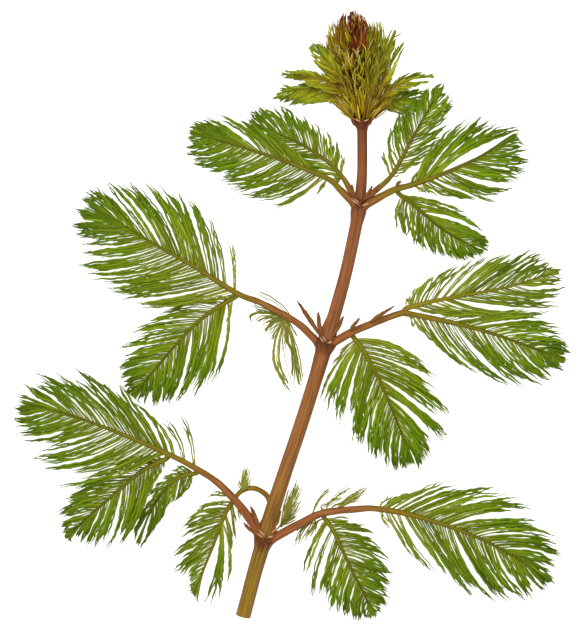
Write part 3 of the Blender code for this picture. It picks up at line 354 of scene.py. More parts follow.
# The threads of the leaves that have no locks: how many run together, and plan points along their middle.
THREADS = {
    "lower_back_small_leaf": (
        (4, [(242.5, 489), (243.5, 478), (245.5, 465)]), (4, [(243.5, 489), (246, 478), (248.7, 467)]),
        (3, [(244, 489), (247.5, 482), (249.5, 476)]), (3, [(242, 489), (241, 483), (242.5, 475)]),
        (2, [(241.5, 489), (239.5, 485), (240.5, 480)]), (2, [(245, 489), (248, 485.5), (250, 482)])),
    "lower_right_small_leaf": (
        (4, [(281, 526), (287, 508), (294, 492), (298, 479)]),
        (4, [(282, 526), (290, 507), (298, 490), (301, 482)]), (3, [(283, 525), (293, 506), (302, 487)]),
        (3, [(283, 525), (292, 512), (301, 498)]), (3, [(284, 524), (293, 514), (301, 503)]),
        (3, [(281, 526), (285, 510), (288, 497)]), (3, [(281, 526), (286, 506), (293, 486)]),
        (3, [(284, 524), (290, 519), (297, 515.5)]), (2, [(285, 524), (291, 521), (298, 518)])),
    "lower_right_small_upper_leaf": (
        (4, [(312.5, 514.5), (317, 503), (325, 493), (333.3, 487)]),
        (3, [(321.7, 506), (330.6, 502.5), (338, 495), (348, 488.7), (355.6, 484.8)]),
        (3, [(327, 506.4), (334, 501), (340.6, 497.6), (346, 496)]),
        (4, [(332.8, 506.4), (342.8, 502), (351.7, 495.3), (360.6, 491), (368, 486)]),
        (4, [(338, 507.5), (349.4, 501), (360.6, 494), (370.5, 488.5)]),
        (3, [(340.6, 507.5), (347, 504), (356, 501), (364.5, 498.5)])),
    "lower_right_small_under_leaf": (
        (4, [(312, 521.5), (304, 528), (299, 537), (295, 547)]),
        (3, [(312.5, 522.5), (307, 532), (301.5, 541)]), (3, [(315, 522), (311.5, 531), (305, 539)]),
        (3, [(308, 523), (301, 528), (296, 533)]), (3, [(318, 521), (315, 528), (313, 533)])),
    "middle_left_sparse_leaf": (
        (3, [(284, 315.5), (269.5, 312), (258.5, 309), (251, 304)]),
        (4, [(283, 316.5), (271, 313.5), (256.5, 313), (250, 317.5), (254, 324)]),
        (3, [(282, 317.5), (272, 317), (261, 318.5), (255, 324.5)]),
        (3, [(282.5, 318.5), (273, 319.5), (267, 321.5), (261.5, 326.5)]),
        (3, [(282.5, 319.5), (272, 323), (263.5, 334)]), (3, [(283, 320.5), (275, 325.5), (268, 334)]),
        (3, [(284, 321), (276, 331), (270.5, 343)]), (2, [(286, 320.5), (290, 330), (294.5, 343.5)]),
        (2, [(287, 320.5), (291.5, 329), (297, 340.5)]), (2, [(285, 321.5), (284, 334), (284, 350)]),
        (2, [(286, 321.5), (286.5, 334), (287, 350)]),
        (5, [(283, 322.5), (275.5, 340), (274, 361), (281, 376.5), (290.5, 394)]),
        (4, [(284, 323.5), (279.5, 342), (278.5, 360), (282, 373), (290.5, 390.5)]),
        (3, [(287, 322.5), (287.5, 341), (292, 352), (293, 367), (291.5, 391)]),
        (3, [(288, 323.5), (294.5, 350), (298, 372), (300, 384), (305, 396)]),
        (2, [(289, 325), (297, 352), (300.5, 378), (301, 392)]),
        (2, [(288.5, 313.5), (281, 305.5), (272, 299.5), (262, 294.5), (250.5, 290)])),
}

# Bracts and axillary buds at the whorls: foot, tip, and the radius of the foot in mm.
BRACTS = {
    "bract_lower_left_tall": ((256.8, 521.5, 5), (250.3, 505, 7.2), 0.34),
    "bract_lower_left_short": ((249.5, 529.5, 3), (243.5, 523, 3.4), 0.26),
    "bract_lower_right": ((276, 524, 4.4), (281, 510, 6), 0.26),
    "bract_middle_left_long": ((315.3, 328, 8), (296.3, 299.5, 11.2), 0.36),
    "bract_middle_left_short": ((319.6, 327, 8.2), (317.8, 311, 10.6), 0.32),
    "bract_middle_right_stem": ((336.8, 329.5, 7.3), (343.8, 315.5, 9.2), 0.3),
    "bract_middle_right_petiole": ((351.5, 328, 8.1), (360, 317.5, 9.4), 0.26),
    "bract_middle_right_long": ((372.5, 319.8, 8.8), (395.3, 305.2, 10.4), 0.28),
    "bract_upper_left": ((353, 192.5, 8.9), (351.4, 184.5, 10), 0.24),
    "bract_upper_right_inner": ((367.4, 194.5, 8.9), (372.4, 186, 10), 0.24),
    "bract_upper_right_outer": ((372.5, 194, 9.4), (378.3, 185.5, 10.6), 0.24),
    "bract_upper_right_fork": ((397, 184.5, 9.5), (401, 181, 10.2), 0.24),
}

# The shoot tip: stations up its axis (across, down, height, radius in mm) and its end.
TIP_RINGS = [
    (361.8, 121.5, 7.62, 1.25), (360.6, 100, 7.85, 1.25), (358.5, 80, 8, 1.55), (356.5, 62, 8.05, 1.7),
    (354.8, 45, 8.1, 1.4), (353.5, 30, 8.1, 0.88), (352.8, 20, 8.1, 0.42),
]
TIP_APEX = (352.6, 11.5, 8.1)

# The ends of the young leaves that make its outline, and how far across the green ones of them begin and end.
TUFT_ENDS = [
    (320.5, 40, 8.6), (324.5, 51, 7.2), (326, 30.5, 9), (328.5, 37, 7.2), (330, 23, 8.4), (334, 20.5, 9.4),
    (338.5, 19, 8.2), (341.5, 24, 10), (344, 16.5, 8.6), (347.5, 12, 8.2), (357, 12.5, 8.3), (360, 16, 8),
    (364, 17.5, 8), (361.5, 30, 9.8), (369, 27, 9), (372.5, 21.5, 8.2), (376, 18.5, 7.8), (378.5, 15.5, 8.6),
    (380.5, 22, 8.9), (382.5, 28.5, 7.8), (381.5, 42, 9.4), (380, 54, 8), (385.5, 58, 8.6), (388, 70, 8.2),
    (390, 84, 7.4),
]
GREEN_ENDS = (368, 383)

# Strips in front of each whorl, partly their own pinkish brown, their pale middles a painted highlight:
# plan points of their two ends and their radius in mm.
SCARS = [
    ((258, 528.5, 4.75), (266, 537.8, 4.65), 0.12),
    ((255, 532.5, 4.5), (265, 538.8, 4.5), 0.1),
    ((266.3, 538.2, 4.65), (274.5, 535.4, 4.7), 0.13),
    ((270.5, 534, 4.9), (277, 527.5, 4.9), 0.1),
    ((318.8, 336, 7.35), (324.6, 343, 7.3), 0.13),
    ((321.5, 334.5, 7.5), (327, 342.6, 7.4), 0.1),
    ((327, 343.2, 7.3), (332.4, 341.4, 7.3), 0.15),
    ((348.9, 197.2, 8.45), (360.4, 206.7, 8.45), 0.11),
    ((351.5, 196.8, 8.6), (361, 204.6, 8.6), 0.08),
    ((360.6, 206.7, 8.45), (370.5, 202.6, 8.45), 0.13),
    ((353, 118.5, 8.9), (361.5, 122.8, 9.2), 0.13),
    ((362.5, 122.5, 9.2), (369.5, 119.3, 8.9), 0.12),
]

# Each tissue's colours by tone; the other one, that warm turns it to; its streaks, how fine the grain is
# round and along and how strong; its patches, the scale and strength of its blotches; its roughness, least
# and most; its bump, the height in metres and the strength; edge, the colour of the painted shade down its
# left and right flanks, and how far that takes it; glow, the colour of the streak along its upper side,
# partly its own olive streaks, partly a painted highlight on its top, the tones between which that fades,
# and how much of it stays; shine, the strength of its gloss.
TISSUES = {
    "leaflet": dict(
        stops=[(0.0, (130, 136, 26)), (0.3, (121, 139, 18)), (0.62, (106, 133, 8)), (1.0, (88, 113, 2))],
        other=(164, 162, 66), streaks=(1.5, 0.9, 0.13), patches=(420, 0.18), roughness=(0.5, 0.7),
        bump=(0.02 * MM, 0.3), shine=0.12),
    "rachis": dict(
        stops=[(0.0, (176, 102, 60)), (0.3, (166, 112, 52)), (0.42, (148, 130, 28)), (0.6, (126, 126, 18)),
               (0.8, (98, 104, 8)), (1.0, (66, 80, 0))],
        other=(104, 52, 12), streaks=(2.4, 0.35, 0.15), patches=(700, 0.22), roughness=(0.46, 0.64),
        bump=(0.03 * MM, 0.45), edge=((84, 52, 2), 0.65), shine=0.14),
    "young_leaflet": dict(
        stops=[(0.0, (132, 112, 14)), (0.3, (144, 138, 18)), (0.65, (142, 150, 26)), (1.0, (104, 126, 14))],
        other=(134, 84, 16), streaks=(1.5, 0.9, 0.10), patches=(420, 0.18), roughness=(0.46, 0.66),
        bump=(0.02 * MM, 0.3), shine=0.14),
    "young_rachis": dict(
        stops=[(0.0, (128, 96, 14)), (0.4, (146, 136, 20)), (1.0, (126, 124, 10))],
        other=(108, 58, 14), streaks=(2.0, 0.8, 0.12), patches=(700, 0.18), roughness=(0.42, 0.6),
        bump=(0.03 * MM, 0.4)),
    "bark": dict(
        stops=[(0.0, (152, 108, 36)), (0.25, (156, 100, 42)), (0.5, (156, 92, 48)), (0.8, (150, 84, 48)),
               (1.0, (124, 62, 36))],
        other=(92, 42, 12), streaks=(4.2, 0.16, 0.23), patches=(380, 0.18), roughness=(0.45, 0.65),
        bump=(0.06 * MM, 0.6), edge=((112, 58, 24), 0.55), glow=((150, 118, 22), 0.12, 0.3, 0.14)),
    "cut_end": dict(
        stops=[(0.0, (56, 36, 10)), (0.2, (140, 112, 46)), (0.8, (164, 144, 70)), (1.0, (132, 102, 34))],
        other=(96, 46, 18), streaks=(3.0, 3.0, 0.12), patches=(1500, 0.2), roughness=(0.55, 0.75),
        bump=(0.05 * MM, 0.6)),
    # The palest stops of the scar ramp colour the painted highlights on the strips in front of the whorls.
    "scar": dict(
        stops=[(0.0, (104, 52, 20)), (0.45, (150, 90, 50)), (0.75, (180, 122, 84)), (1.0, (212, 164, 128))],
        other=(112, 58, 28), streaks=(2.0, 1.2, 0.12), patches=(1400, 0.15), roughness=(0.5, 0.65),
        bump=(0.02 * MM, 0.3)),
    "bract": dict(
        stops=[(0.0, (150, 92, 46)), (0.35, (140, 92, 30)), (0.7, (134, 76, 30)), (1.0, (106, 54, 18))],
        other=(92, 42, 12), streaks=(2.4, 0.4, 0.2), patches=(900, 0.22), roughness=(0.46, 0.66),
        bump=(0.03 * MM, 0.5), edge=((84, 40, 10), 0.8)),
    # The pale stops from 0.66 to 0.78 are the colour of painted highlights, worn by thin pale strands of the
    # shoot tip.
    "shoot_tip": dict(
        stops=[(0.0, (90, 58, 0)), (0.18, (150, 118, 16)), (0.42, (174, 160, 24)), (0.56, (194, 180, 60)),
               (0.66, (216, 194, 122)), (0.78, (216, 194, 122)), (0.86, (148, 152, 12)),
               (1.0, (134, 146, 8))],
        other=(122, 42, 16), streaks=(2.0, 0.8, 0.14), patches=(800, 0.22), roughness=(0.4, 0.58),
        bump=(0.03 * MM, 0.4), shine=0.12),
}


def place(points):
    """The points in metres of plan points."""
    points = np.asarray(points, float)
    across = (points[..., 0] - PLAN_CENTRE[0]) * PIXEL
    up_page = (PLAN_CENTRE[1] - points[..., 1]) * PIXEL
    return np.stack([across, up_page, points[..., 2] * MM], axis=-1)


def unit(vectors):
    return vectors / np.maximum(np.linalg.norm(vectors, axis=-1, keepdims=True), TINY)


def smooth(low, high, value):
    """0 up to low and 1 from high on, or from high downwards where that is the lower one, with a soft step
    between them."""
    t = np.clip((value - low) / (high - low), 0, 1)
    return t * t * (3 - 2 * t)


def turns(count):
    """Angles that go once round."""
    return TURN * np.arange(count) / count


def right_and_top(along, up=UP):
    """Unit vectors to the right of along and out of its top."""
    right = unit(np.cross(along, up))
    return right, np.cross(right, along)


def indices(*shape):
    return np.arange(math.prod(shape)).reshape(shape)


def bands(grid):
    """Quads between the rows of grids of indices, whose columns run round and close."""
    after = np.roll(grid, -1, axis=-1)
    quads = grid[..., :-1, :], after[..., :-1, :], after[..., 1:, :], grid[..., 1:, :]
    return np.stack(quads, axis=-1).reshape(-1, 4)


def fans(rings, tips, inward=False):
    """Triangles from each ring of indices to its tip. Those that face inward run the other way round."""
    triangles = rings, np.roll(rings, -1, axis=-1), np.broadcast_to(tips, rings.shape)
    return np.stack(triangles, axis=-1).reshape(-1, 3)[:, [1, 0, 2] if inward else [0, 1, 2]]


def grain_at(angle, run):
    """The grain at points that lie at an angle round a thing, and run in mm along it."""
    return np.stack(np.broadcast_arrays(np.cos(angle), np.sin(angle), run), axis=-1).reshape(-1, 3)


class Path:
    """A smooth curve through points, read by the share of its length. A knot is one of the points."""

    STEPS = 12  # straight pieces between two points
    NUDGE = 0.01

    def __init__(self, points):
        ends = np.vstack([2 * points[0] - points[1], points, 2 * points[-1] - points[-2]])
        t = (np.arange(1, self.STEPS + 1) / self.STEPS)[:, None]
        line = [points[:1]]
        for before, start, end, after in zip(ends, ends[1:], ends[2:], ends[3:]):
            line.append(0.5 * (2 * start + (end - before) * t
                               + (2 * before - 5 * start + 4 * end - after) * t ** 2
                               + (3 * start - before - 3 * end + after) * t ** 3))
        self.line = np.vstack(line)
        steps = np.linalg.norm(np.diff(self.line, axis=0), axis=1)
        self.lengths = np.concatenate([[0.0], np.cumsum(steps)])
        self.length = self.lengths[-1]

    def share_at_knot(self, knot):
        return self.lengths[knot * self.STEPS] / self.length

    def at(self, share):
        wanted = np.clip(share, 0, 1) * self.length
        return np.stack([np.interp(wanted, self.lengths, self.line[:, k]) for k in range(3)], axis=-1)

    def tangent(self, share):
        share = np.asarray(share, float)
        return unit(self.at(share + self.NUDGE) - self.at(share - self.NUDGE))


class Shape:
    """The points and faces of one piece, and the numbers that its materials read at each point: tone (from
    the root of a thing to its tip), shade (a factor on its lightness, which in places holds painted shade and
    light), warm (how far it is browned, round the whorls partly as painted shade) and grain (round it and
    along it)."""

    def __init__(self):
        self.points, self.faces, self.slots = [], [], []
        self.tone, self.shade, self.warm, self.grain = [], [], [], []
        self.count = 0

    def add(self, points, faces, slot, tone, shade, warm, grain):
        """faces is a list of arrays of indices into points, one array for each number of corners."""
        for group in faces:
            self.faces += (group + self.count).tolist()
            self.slots.append(np.full(len(group), slot))
        self.points.append(points)
        for kept, values in ((self.tone, tone), (self.shade, shade), (self.warm, warm)):
            kept.append(np.broadcast_to(values, (len(points),)))
        self.grain.append(grain)
        self.count += len(points)

    def tubes(self, centres, radii, sides, slot, tone, shade=1.0, warm=0.0, up=UP, flat=1.0, bluntness=0.6):
        """Closed tubes along rows of centres. A tube's section is as wide as its radius says and flat times
        as thick along up. tone, shade and warm may be one number, one a tube or one a ring."""
        tubes, rings = radii.shape
        along = unit(np.gradient(centres, axis=1))
        right, top = (side[:, :, None] for side in right_and_top(along, up))
        angle = turns(sides)
        section = np.cos(angle)[:, None] * right - flat * np.sin(angle)[:, None] * top
        skin = centres[:, :, None] + radii[:, :, None, None] * section
        ends = centres[:, -1] + along[:, -1] * radii[:, -1:] * bluntness
        starts = centres[:, 0] - along[:, 0] * radii[:, :1] * bluntness
        grid = indices(tubes, rings, sides)
        tips = grid.size + np.arange(tubes)[:, None]
        faces = [bands(grid), fans(grid[:, -1], tips), fans(grid[:, 0], tips + tubes, inward=True)]

        def at_points(values):
            values = np.asarray(values, float)
            values = np.broadcast_to(values[:, None] if values.ndim == 1 else values, (tubes, rings))
            return np.concatenate([np.repeat(values.reshape(-1), sides), values[:, -1], values[:, 0]])

        steps = np.linalg.norm(np.diff(centres, axis=1), axis=2)
        run = np.concatenate([np.zeros((tubes, 1)), np.cumsum(steps, axis=1)], axis=1) / MM
        run = run + GRAIN_STEP * np.arange(tubes)[:, None]
        grain_at_ends = np.concatenate([run[:, -1:], run[:, :1]]) * UP
        self.add(np.concatenate([skin.reshape(-1, 3), ends, starts]), faces, slot,
                 at_points(tone), at_points(shade), at_points(warm),
                 np.concatenate([grain_at(angle, run[:, :, None]), grain_at_ends]))

    def piece(self, name, materials):
        mesh = bpy.data.meshes.new(name)
        mesh.from_pydata(np.concatenate(self.points).tolist(), [], self.faces)
        mesh.polygons.foreach_set("material_index", np.concatenate(self.slots).astype(np.int32))
        mesh.polygons.foreach_set("use_smooth", np.ones(len(self.faces), bool))
        for label, values in (("tone", self.tone), ("shade", self.shade), ("warm", self.warm)):
            kept = mesh.attributes.new(label, "FLOAT", "POINT")
            kept.data.foreach_set("value", np.concatenate(values).astype(np.float32))
        kept = mesh.attributes.new("grain", "FLOAT_VECTOR", "POINT")
        kept.data.foreach_set("vector", np.concatenate(self.grain).astype(np.float32).ravel())
        for material in materials:
            mesh.materials.append(material)
        mesh.update()
        made = bpy.data.objects.new(name, mesh)
        bpy.context.scene.collection.objects.link(made)
        return made


def over_floor(centres, radii):
    """The centres, lifted where a thing of that radius would sink into the floor."""
    lifted = centres.copy()
    lifted[..., 2] = np.maximum(lifted[..., 2], radii + FLOOR_GAP)
    return lifted


STEM_PATH = Path(place([station[:3] for station in STEM]))
LEAF_PATHS = {name: Path(place(leaf["axis"])) for name, leaf in LEAVES.items()}


def bend_to(start, knee, end, steps):
    """Points on a curve that leaves start towards knee and comes into end from it, without end itself."""
    t = np.linspace(0, 1, steps, endpoint=False)[:, None]
    return (1 - t) ** 2 * start + 2 * t * (1 - t) * knee + t ** 2 * end


def whorl_root(foot):
    """The point in the stem's middle, a little below the nearest whorl, that a petiole grows from."""
    shares = np.array([STEM_PATH.share_at_knot(knot) for knot in WHORL_KNOTS])
    nearest = shares[np.argmin(np.linalg.norm(STEM_PATH.at(shares) - foot, axis=1))]
    return STEM_PATH.at(nearest - ROOT_DEPTH / STEM_PATH.length)


def fork_root(name, foot):
    """The nearest point on another leaf's axis, which this one forks from."""
    shares = np.linspace(0, 0.9, 240)
    others = np.concatenate([path.at(shares) for other, path in LEAF_PATHS.items() if other != name])
    return others[np.argmin(np.linalg.norm(others - foot, axis=1))]


def add_rachis(shape, name, path, bare, first, radius, style):
    """The petiole and rachis, rooted in the stem or in the rachis that it forks from. first is the share of
    the path where the blade begins, and radius gives the radius at a share."""
    shares = np.linspace(0, 1, RACHIS_RINGS)
    foot, away = path.at(0), path.tangent(0)
    start = whorl_root(foot) if bare else fork_root(name, foot)
    knee = foot - away * 0.55 * np.linalg.norm(foot - start)
    centres = np.concatenate([bend_to(start, knee, foot, ROOT_RINGS), path.at(shares)])
    back = np.linspace(1, 0, ROOT_RINGS, endpoint=False)
    on_blade = np.clip((shares - first) / (1 - first), 0, 1)
    petiole = np.clip(shares / first, 0, 1) if bare else 1.0
    flare, root_tone, foot_tone = (0.55, 0.0, 0.35) if bare else (0.25, 0.55, 0.55)
    radii = np.concatenate([radius(0) * (1 + flare * back ** 1.5), radius(shares)])
    radii *= np.concatenate([np.full(ROOT_RINGS, 1.3), 1 + 0.3 * (1 - on_blade)]) * style["stalk_width"]
    rings = np.arange(len(radii))
    radii *= 1 + 0.03 * np.sin(rings * 0.9 + 2 * np.sin(rings * 0.23))
    tone = np.concatenate([np.full(ROOT_RINGS, root_tone), foot_tone * petiole + (1 - foot_tone) * on_blade])
    olive = 0.35 * style["olive"]
    tone = olive + (1 - olive) * tone * (1 - 0.7 * style["pale"])
    browned = 0.25 + 0.55 * back ** 1.5 if bare else 0.35 * back
    warm = np.concatenate([browned, 0.25 * (1 - on_blade) * (1 if bare else 0)])
    shape.tubes(over_floor(centres, radii)[None], radii[None], RACHIS_SIDES, RACHIS, tone[None],
                1 + 0.35 * style["pale"], warm[None], flat=0.94)


def lock_borders(path, first, tips, angles):
    """The shares of the rachis between which each lock of one side grows, so that each leans by its angle to
    it. angles are in degrees, of the first lock and the last."""
    shares = np.linspace(first, BLADE_END, 120)
    along = unit(path.tangent(shares) * FLAT)
    count = len(tips)
    roots = first + (BLADE_END - first) * (np.arange(count) + 0.5) / count
    even = roots.copy()
    for number, tip in enumerate(tips):
        if tip is not None:
            to_tip = unit((tip - path.at(shares)) * FLAT)
            leaning = np.degrees(np.arccos(np.clip(np.sum(to_tip * along, axis=1), -1, 1)))
            wanted = angles[0] + (angles[1] - angles[0]) * number / max(count - 1, 1)
            roots[number] = shares[np.argmin(np.abs(leaning - wanted))]
    roots = np.maximum.accumulate(0.8 * roots + 0.2 * even)
    return np.concatenate([[first], (roots[1:] + roots[:-1]) / 2, [min(roots[-1] + 0.05, 0.97)]])


def lock_of_leaflets(rng, path, radius, borders, tip, steps, fall, outward, on_blade, style, thin):
    """Rows of centres, radii, tones, shades and fadings of the leaflets of one lock. They run side by side
    and draw together into tufts towards its tip. borders are the shares of the rachis that it grows between;
    steps, the half ways from the tip before it and to the one after it; outward, 1 or -1, its side; on_blade,
    how far up the blade it is."""
    middle, stretch = sum(borders) / 2, borders[1] - borders[0]
    root = path.at(middle)
    flat = (tip - root) * FLAT
    reach = np.linalg.norm(flat)
    ahead = unit(flat)
    across = np.cross(UP, ahead)
    end = np.array([tip[0], tip[1], max(root[2] - fall * reach, 2 * LEAFLET_RADIUS)])
    at_root = stretch * path.length * np.linalg.norm(np.cross(ahead, path.tangent(middle)))
    at_tip = abs(np.dot(steps[0] + steps[1], across)) * 0.8
    fuller = 1 + 0.35 * on_blade
    count = THIN_LOCK if thin else max(3, round(fuller * max(at_root, at_tip) / (LEAFLET_GAP * style["gap"])))
    places = (np.arange(count) + 0.5 + rng.normal(0, 0.24, count)) / count - 0.5
    layer = np.where(np.arange(count) % 2, 1.0, -1.0)

    root_shares = np.clip(middle + places * stretch * (0.35 if thin else 1.0), 0.01, 0.985)
    sideways = unit(np.cross(path.tangent(root_shares), UP)) * outward
    rim = radius(root_shares)[:, None]
    roots = path.at(root_shares) + sideways * 0.55 * rim + UP * layer[:, None] * 0.3 * rim

    tufts = 1 if thin else int(rng.integers(*style["tufts"]))
    edges = np.sort(rng.uniform(-0.5, 0.5, (6, tufts - 1)), axis=1).mean(axis=0)
    tuft = np.searchsorted(edges, places)
    middles = [places[tuft == each].mean() if (tuft == each).any() else 0.0 for each in range(tufts)]
    middle_of_tuft = np.array(middles)[tuft]
    tuft_reach = rng.uniform(style["uneven"], 1.0, tufts)
    tuft_reach[rng.integers(tufts)] = 1.0
    spread = rng.uniform(*style["spread"])
    step = np.where(places[:, None] > 0, steps[1], steps[0])
    step_length = np.maximum(np.linalg.norm(step, axis=1, keepdims=True), TINY)
    step = step * (1.0 if thin else 2.0) * np.minimum(1, 0.35 * reach / step_length)
    ends = step * places[:, None]
    loose = 0.9 if thin else style["loose"]
    drawn_ends = step * (middle_of_tuft * spread + (places - middle_of_tuft) * loose)[:, None]
    own_reach = tuft_reach[tuft] * (1 - style["ragged"] * rng.random(count) ** 2)
    short = rng.random(count) < style["short"]
    own_reach = np.where(short, own_reach * rng.uniform(0.45, 0.85, count), own_reach)

    t = np.linspace(0, 1, LEAFLET_RINGS)[None, :, None] * own_reach[:, None, None]
    drawn = (t / tuft_reach[tuft][:, None, None]) ** rng.uniform(*style["drawn"], tufts)[tuft][:, None, None]
    drawn = drawn * smooth(1.5 * MM, 5.0 * MM, reach)
    bow = across * -outward * style["bow"] * rng.uniform(0.2, 1.8) + UP * 0.045
    centres = root + (end - root) * t + bow * reach * 4 * t * (1 - t)
    centres = centres + (roots - root)[:, None] * (1 - t) + ends[:, None] * t
    centres = centres + (drawn_ends - ends)[:, None] * drawn
    phase = rng.random((2, count, 1, 1))
    pace = rng.uniform(0.5, 1.6, (2, count, 1, 1))
    sway = np.sin(TURN * (pace * t + phase)) - np.sin(TURN * phase) * (1 - t)
    stray = np.where(rng.random(count) < style["stray"], 3.0, 1.0)[:, None, None]
    ripple = np.sin(TURN * (t * reach / rng.uniform(*RIPPLE_LENGTHS, (count, 1, 1)) + phase[1]))
    centres = centres + across * (sway[0] * stray * style["sway"] + ripple * RIPPLE_DEPTH) * t ** 0.7
    height = layer[:, None, None] * 0.07 + rng.normal(0, 0.07, (count, 1, 1)) + sway[1] * 0.05
    centres = centres + UP * height * MM * t

    t = t[..., 0]
    share_out = t / own_reach[:, None]
    own_radius = style["radius"] * LEAFLET_RADIUS * rng.uniform(0.68, 1.28, (count, 1))
    own_radius = own_radius * (0.72 if thin else 1.0) * (0.7 + 0.3 * smooth(1.0 * MM, 4.0 * MM, reach))
    radii = own_radius * (0.80 + 0.48 * smooth(0.1, 0.6, share_out))
    radii = radii * (1 - 0.75 * smooth(0.78, 1.0, share_out))
    tone = np.clip(t * (0.6 + 0.4 * on_blade) + 0.25 * on_blade + style["green"], 0, 1)
    mottle = style["mottle"]
    lightness = style["light"] * rng.normal(1, mottle / 2) * rng.normal(1, mottle, (count, 1))
    # Painted shade and light: threads of the lower layer are darker and those of the upper layer lighter.
    shade = np.broadcast_to(lightness * np.where(layer > 0, 1.06, 0.90)[:, None], radii.shape)
    pale = style["pale"]
    warm = pale * (pale + (1 - pale) * (1 - 0.4 * t) * (1.2 - on_blade))
    warm = warm + (0.36 * (1 - smooth(0, 0.35, on_blade)) + (0.45 if thin else 0)) * (1 - t)
    return over_floor(centres, radii), radii, tone, shade, np.clip(warm, 0, 1)


def half_steps(tips, number, limit):
    """Half the way from the tip before this one to it, and half the way from it to the next. Where one of
    them is missing the other stands for both."""
    row = [None, *tips, None][number:number + 3]
    pairs = [pair for pair in zip(row, row[1:]) if pair[0] is not None and pair[1] is not None]
    steps = [(after - before) / 2 for before, after in pairs] or [np.zeros(3)]
    return [step * min(1.0, limit / max(np.linalg.norm(step), TINY)) for step in (steps[0], steps[-1])]


def end_leaflets(rng, path, style, last_tips):
    """The same rows for the leaflets that end a rachis, in a fan between the last tips of its two sides."""
    tip = path.at(1.0)
    first, last = last_tips
    count = max(5, round(0.7 * np.linalg.norm(last - first) / (LEAFLET_GAP * style["gap"])))
    aside = (np.arange(count) + 0.5) / count
    roots = path.at(rng.uniform(0.72, 0.96, count)) - UP * 0.6 * RACHIS_TIP_RADIUS
    end = first + (last - first) * aside[:, None]
    end[:, 2] = tip[2]
    end = tip + (end - tip) * rng.uniform(0.55, 1.0, (count, 1))
    t = np.linspace(0, 1, LEAFLET_RINGS)[None, :, None]
    ahead = (tip - roots)[:, None]
    centres = roots[:, None] + ahead * np.minimum(1.3 * t, 1.0) + (end - tip)[:, None] * t ** 1.4
    radii = style["radius"] * LEAFLET_RADIUS * (1 - 0.7 * smooth(0.6, 1.0, t[..., 0])) * np.ones((count, 1))
    tone = np.full_like(radii, 0.8 - 0.4 * style["pale"])
    shade = style["light"] * rng.normal(1.0, 0.1, (count, 1)) * np.ones_like(radii)
    return over_floor(centres, radii), radii, tone, shade, np.full_like(radii, style["pale"])


def loose_threads(rng, name, path, bare, style):
    """The same rows for the threads of a leaf without locks, which come from its foot or out of the petiole
    nearest to them."""
    parts = []
    axis = path.at(np.linspace(0, 1, 60))
    for count, points in THREADS[name]:
        line = place([(*point, 0) for point in points])
        nearest = np.argmin(np.linalg.norm((line[:, None] - axis)[..., :2], axis=2), axis=1)
        line[:, 2] = axis[nearest, 2]
        line = Path(np.vstack([path.at(0) if bare else fork_root(name, line[0]), line]))
        t = np.linspace(0, 1, LEAFLET_RINGS) * rng.uniform(0.8, 1.0, (count, 1))
        across = np.cross(line.tangent(t), UP)
        waves = t * line.length / rng.uniform(*RIPPLE_LENGTHS, (count, 1))
        ripple = np.sin(TURN * (waves + rng.random((count, 1))))
        aside = THREAD_SPREAD * np.linspace(-1, 1, count)[:, None]
        aside = aside * rng.uniform(0.3, 1.0, (count, 1)) * t ** 0.6
        centres = line.at(t) + across * (aside + 0.8 * RIPPLE_DEPTH * ripple * t)[..., None]
        radii = style["radius"] * LEAFLET_RADIUS * rng.uniform(0.7, 1.2, (count, 1))
        radii = radii * (0.8 + 0.3 * smooth(0.1, 0.5, t)) * (1 - 0.5 * smooth(0.7, 1, t))
        shade = style["light"] * rng.normal(1.0, style["mottle"], (count, 1)) * np.ones_like(radii)
        warm = np.clip(style["pale"] * rng.normal(1.0, 0.35, (count, 1)) * (1.2 - 0.4 * t), 0, 1)
        parts.append((over_floor(centres, radii), radii, 0.05 + 0.45 * t, shade, warm))
    return parts


def blade(rng, leaf, path, first, radius, style):
    """The same rows for the locks on both sides of a rachis and for the leaflets that end it."""
    sides = [[None if tip is None else place((*tip, 0)) for tip in tips] for tips in leaf["sides"]]
    parts = []
    if all(tips[-1] is not None for tips in sides):
        parts.append(end_leaflets(rng, path, style, [tips[-1] for tips in sides]))
    for tips, fall, thin, angles in zip(sides, leaf["droop"], style["thin"], style["angles"]):
        count = len(tips)
        borders = lock_borders(path, first, tips, angles)
        shares = (borders[1:] + borders[:-1]) / 2
        turn = sum(np.cross(tip - path.at(share), path.tangent(share))[2]
                   for tip, share in zip(tips, shares) if tip is not None)
        outward = 1 if turn > 0 else -1
        for number, tip in enumerate(tips):
            if tip is not None:
                steps = half_steps(tips, number, 0.75 * (1 - first) / count * path.length)
                parts.append(lock_of_leaflets(rng, path, radius, borders[number:number + 2], tip, steps, fall,
                                              outward, (number + 0.5) / count, style, number in thin))
    return parts


def leaf_piece(name, seed):
    leaf = LEAVES[name]
    bare = leaf["bare"]
    age = "young_" if "tissue" in leaf else ""
    rng = np.random.default_rng(seed)
    style = {**PLAIN_FOLIAGE, **(YOUNG_FOLIAGE if age else {}), **FOLIAGE.get(name, {})}
    path = LEAF_PATHS[name]
    first = path.share_at_knot(bare)
    foot, blade_foot = (value * MM for value in leaf["radii"])

    def radius(share):
        share = np.asarray(share, float)
        on_petiole = foot + (blade_foot - foot) * (share / first if first else 1.0)
        on_rachis = blade_foot + (RACHIS_TIP_RADIUS - blade_foot) * (share - first) / (1 - first)
        return np.where(share <= first, on_petiole, on_rachis)

    shape = Shape()
    add_rachis(shape, name, path, bare, first, radius, style)
    if name in THREADS:
        parts = loose_threads(rng, name, path, bare, style)
    else:
        parts = blade(rng, leaf, path, first, radius, style)
    centres, radii, tone, shade, warm = (np.concatenate(column) for column in zip(*parts))
    shape.tubes(centres, radii, LEAFLET_SIDES, LEAFLETS, tone, shade, warm, bluntness=0.8)
    return shape.piece(name + "_foliage", [materials[age + "leaflet"], materials[age + "rachis"]])


